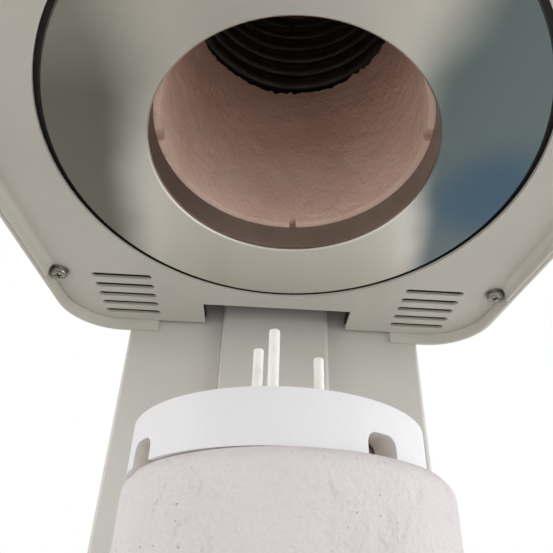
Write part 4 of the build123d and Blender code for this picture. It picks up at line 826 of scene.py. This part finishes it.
# a block with rounded edges, to cut with
def addBlock(place, turn, size, rounding, segments):
    deselectAll()
    bpy.ops.mesh.primitive_cube_add(size=1, location=place, rotation=(0, 0, turn))
    block = bpy.context.object
    block.scale = size
    settle(block)
    bevel = block.modifiers.new("round", "BEVEL")
    bevel.width = rounding
    bevel.segments = segments
    applyAll(block)
    return block


def addRod(across, depth, place, sides):
    deselectAll()
    bpy.ops.mesh.primitive_cylinder_add(vertices=sides, radius=across, depth=depth, location=place)
    return bpy.context.object


# muffle
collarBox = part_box("fibre_collar")
collar = {
    "bore": 0.0488,
    "ledge": 0.0022,  # the rounded ledge between the bore and the mouth ring
    "ledgeRise": 0.0007,
    "foot": collarBox[0][2] + 0.0110,  # the face that is seen from below
    "skirt": 0.0110,
    "skirtBore": 0.0529,
    "step": 0.0018,
    "shelf": 0.0569,
    "outer": collarBox[1][0],
    "top": collarBox[1][2],
    "longest": 0.0012,  # longest edge up the bore
    "notchTurn": -4.5,  # degrees
    "notchWidths": (0.0050, 0.0030, 0.0050, 0.0030),
    "notchHeight": 0.0034,
    "notchDepth": 0.0064,
    "notchRound": 0.0008,
    "near": 0.0002,  # vertices this near to a wall belong to it
    "wall": (0.0008, 0.006),  # depth and size of its waves
    "rim": (0.00035, 0.0016),
    "rimHeight": 0.0035,
    "torn": ((0.0052, 0.0034), (0.0022, 0.0012)),
    "tornWidth": 0.0025,
    "tornHeight": 0.0045,
    "steps": 320,
}


def cutCollarNotches(item):
    c = collar
    reach = c["bore"] + c["ledge"] + c["near"]
    for i, width in enumerate(c["notchWidths"]):
        turn = math.radians(c["notchTurn"] + 90 * i)
        place = (reach * math.cos(turn), reach * math.sin(turn), c["foot"])
        size = (c["notchDepth"], width, 2 * c["notchHeight"])
        cutAway(item, addBlock(place, turn, size, c["notchRound"], 3))


# the fibre is torn where it meets the element: its top inner edge waves up and down
def tearTop(item):
    c = collar
    edge = item.vertex_groups.new(name="torn")
    for v in item.data.vertices:
        drop = c["top"] - v.co.z
        if radius(v.co) < c["bore"] + c["tornWidth"] and drop < c["tornHeight"]:
            edge.add([v.index], max(0.0, 1 - drop / c["tornHeight"]), "REPLACE")
    for depth, size in c["torn"]:
        addPush(item, "torn", depth, size, 2).direction = "Z"
    applyAll(item)
    item.vertex_groups.clear()


def makeCollarPiece():
    c = collar
    mouthEdge = c["bore"] + c["ledge"]
    foot = c["foot"]
    low = foot - c["skirt"]
    inside = [(mouthEdge, foot), (c["bore"], foot + c["ledgeRise"]), (c["bore"], c["top"])]
    bore = stepped(inside, c["longest"])
    outside = [(c["bore"] + c["tornWidth"], c["top"]), (c["outer"], c["top"]), (c["outer"], low)]
    shelf = [(c["skirtBore"], low), (c["skirtBore"], foot - c["step"]), (c["shelf"], foot - c["step"]),
             (c["shelf"], foot)]
    item = drawProfile("fibreCollar", bore + outside + shelf + bore[:1])
    spinRound(item, c["steps"])
    cutCollarNotches(item)
    wall = c["bore"] + 1.5 * c["near"]
    rim = foot + c["rimHeight"]
    roughen(item, lambda p: radius(p) < wall and p.z > rim, *c["wall"])
    roughen(item, lambda p: radius(p) < mouthEdge + c["near"] and p.z < rim, *c["rim"])
    tearTop(item)
    smooth(item, 40)
    finishPiece(item, "base", "fibre", "fibre", "fibre_collar")


coil = {"rod": 0.0048, "sides": 24, "turns": 6, "steps": 120}


def makeCoilPiece():
    c = coil
    low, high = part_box("heating_coil")
    turnRadius = high[1] - c["rod"]
    foot = low[2] + c["rod"]
    deselectAll()
    bpy.ops.mesh.primitive_circle_add(vertices=c["sides"], radius=c["rod"], fill_type="NGON",
                                      location=(-turnRadius, 0, foot), rotation=(math.pi / 2, 0, 0))
    item = bpy.context.object
    item.name = "heatingCoil"
    settle(item)
    wind = item.modifiers.new("wind", "SCREW")
    wind.axis = "Z"
    wind.angle = 2 * math.pi
    wind.screw_offset = (high[2] - low[2] - 2 * c["rod"]) / c["turns"]
    wind.iterations = c["turns"]
    wind.steps = c["steps"]
    wind.render_steps = c["steps"]
    applyAll(item)
    selectOnly(item)
    bpy.ops.object.mode_set(mode="EDIT")
    mendMesh()
    smooth(item, 40)
    finishPiece(item, "base", "element", "element", "heating_coil")


makeCollarPiece()
makeCoilPiece()
print("muffle ready")

# firing platform
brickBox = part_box("insulation_block")
brick = {
    "radius": brickBox[1][0],
    "foot": brickBox[0][2],
    "footRound": 0.001,
    "top": trayFoot,
    "round": 0.004,
    "boss": 0.0270,
    "bossTop": brickBox[1][2],
    "bossRound": 0.0008,
    "longest": 0.0013,
    "waves": (0.0005, 0.009),  # depth and size, inwards only
    "wavesFrom": 0.009,  # above the foot
    "wavesRadius": 0.0374,
    "steps": 220,
}


def makeBrickPiece():
    b = brick
    turns = [math.radians(a) for a in range(0, 91, 15)]
    edge = b["radius"]
    arc = [(edge - b["round"] * (1 - math.cos(a)), b["top"] - b["round"] * (1 - math.sin(a))) for a in turns]
    side = [(0, b["foot"]), (edge - b["footRound"], b["foot"]), (edge, b["foot"] + b["footRound"])]
    boss = [(b["boss"], b["top"]), (b["boss"], b["bossTop"] - b["bossRound"]),
            (b["boss"] - b["bossRound"], b["bossTop"]), (0, b["bossTop"])]
    item = drawProfile("insulationBrick", stepped(side + arc + boss, b["longest"]))
    spinRound(item, b["steps"])
    rough = b["foot"] + b["wavesFrom"]
    roughen(item, lambda p: p.z > rough and radius(p) > b["wavesRadius"], *b["waves"], mid=1.0)
    smooth(item, 60)
    finishPiece(item, "lift", "fire_brick", "brick", "insulation_block")


tray = {
    "middle": -0.0026,
    "radius": 0.036,
    "foot": trayFoot,
    "top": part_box("firing_tray")[1][2],
    "wall": 0.006,
    "deck": 0.0054,
    "archWidth": 0.008,
    "archHeight": 0.0052,
    "archReach": 0.024,
    "archRound": 0.0024,
    "archTurns": (-57, 33, 123, 213),
    "holePitch": 0.0068,
    "holeRadius": 0.0016,
    "holeDepth": 0.004,
    "holeRows": 7,
    "clearRim": 0.0042,
    "edge": 0.0007,
    "pegs": ((-0.0087, 0.0), (-0.0048, -0.0113), (0.0087, 0.0038)),
}


# hole places of a hexagonal grid that passes through the first peg
def trayHoles():
    t = tray
    x0, y0 = t["pegs"][0]
    clear = t["radius"] - t["clearRim"] - t["holeRadius"]
    rows = []
    for j in range(1 - t["holeRows"], t["holeRows"]):
        for i in range(-t["holeRows"], t["holeRows"] + 1):
            x = x0 + (i + (j % 2) / 2) * t["holePitch"]
            y = y0 + j * t["holePitch"] * math.sqrt(3) / 2
            clash = any(0 < math.hypot(x - px, y - py) < 2.4 * t["holeRadius"] for px, py in t["pegs"])
            if math.hypot(x - t["middle"], y) < clear and not clash:
                rows.append((x, y))
    for peg in t["pegs"][1:]:
        if all(math.hypot(x - peg[0], y - peg[1]) > 1e-5 for x, y in rows):
            rows.append(peg)
    return rows


def joinCutters(cutters):
    selectOnly(cutters[0])
    for other in cutters[1:]:
        other.select_set(True)
    bpy.ops.object.join()
    joined = bpy.context.object
    settle(joined)
    return joined


def makeTrayPiece():
    t = tray
    item = addRod(t["radius"], t["top"] - t["foot"], (t["middle"], 0, (t["top"] + t["foot"]) / 2), 160)
    item.name = "firingTray"
    settle(item)
    cutAway(item, addRod(t["radius"] - t["wall"], 0.02, (t["middle"], 0, t["top"] - t["deck"] - 0.01), 128))
    cutters = []
    for turn in (math.radians(a) for a in t["archTurns"]):
        place = (t["middle"] + t["radius"] * math.cos(turn), t["radius"] * math.sin(turn), t["foot"])
        size = (t["archReach"], t["archWidth"], 2 * t["archHeight"])
        cutters.append(addBlock(place, turn, size, t["archRound"], 6))
    cutAway(item, joinCutters(cutters))
    holes = [addRod(t["holeRadius"], 2 * t["holeDepth"], (x, y, t["top"]), 20) for x, y in trayHoles()]
    cutAway(item, joinCutters(holes))
    soften = item.modifiers.new("soften", "BEVEL")
    soften.width = t["edge"]
    soften.segments = 3
    soften.limit_method = "ANGLE"
    soften.angle_limit = math.radians(40)
    applyAll(item)
    smooth(item, 40)
    finishPiece(item, "lift", "tray_ceramic", "tray", "firing_tray")


makeBrickPiece()
makeTrayPiece()
print("firing platform ready")

# control panel marks
panel = {
    "tilt": 39.369,  # degrees
    "middle": (0, -0.151, 0.080),
    "top": 0.0064,
    "markSize": 0.0042,
    "markHeight": 0.0003,
    "markRound": 0.0006,
}
keyMarks = [  # key body, x and y on the panel, corners, turn, finish, slot
    ("start_key", 0.047, 0.014, 3, -90, "keyMark", "key_light"),
    ("stop_key", 0.077, 0.014, 4, 45, "keyMark", "key_light"),
    ("lift_up_key", 0.047, -0.014, 3, 0, "panel", "panel_plastic"),
    ("lift_down_key", 0.077, -0.014, 3, 180, "panel", "panel_plastic"),
]


def panelPlace(x, y, height):
    tilt = math.radians(panel["tilt"])
    along = Vector((0, math.cos(tilt), math.sin(tilt)))
    outward = Vector((0, -math.sin(tilt), math.cos(tilt)))
    return Vector(panel["middle"]) + Vector((x, 0, 0)) + along * y + outward * height


def makeKeyMarks():
    p = panel
    for body, x, y, corners, turn, finish, slotName in keyMarks:
        deselectAll()
        bpy.ops.mesh.primitive_circle_add(vertices=corners, radius=p["markSize"], fill_type="NGON")
        item = bpy.context.object
        item.name = body.replace("_key", "") + "Mark"
        bpy.ops.object.mode_set(mode="EDIT")
        bpy.ops.mesh.select_all(action="SELECT")
        bpy.ops.mesh.bevel(offset=p["markRound"], segments=3, affect="VERTICES")
        bpy.ops.mesh.select_all(action="SELECT")
        bpy.ops.mesh.extrude_region_move(TRANSFORM_OT_translate={"value": (0, 0, p["markHeight"])})
        bpy.ops.mesh.select_all(action="SELECT")
        bpy.ops.mesh.normals_make_consistent(inside=False)
        bpy.ops.object.mode_set(mode="OBJECT")
        place = Matrix.Translation(panelPlace(x, y, p["top"] - p["markHeight"] / 2))
        tilt = Matrix.Rotation(math.radians(p["tilt"]), 4, "X")
        item.data.transform(place @ tilt @ Matrix.Rotation(math.radians(turn), 4, "Z"))
        finishPiece(item, body, slotName, finish)


makeKeyMarks()
print("key marks ready")
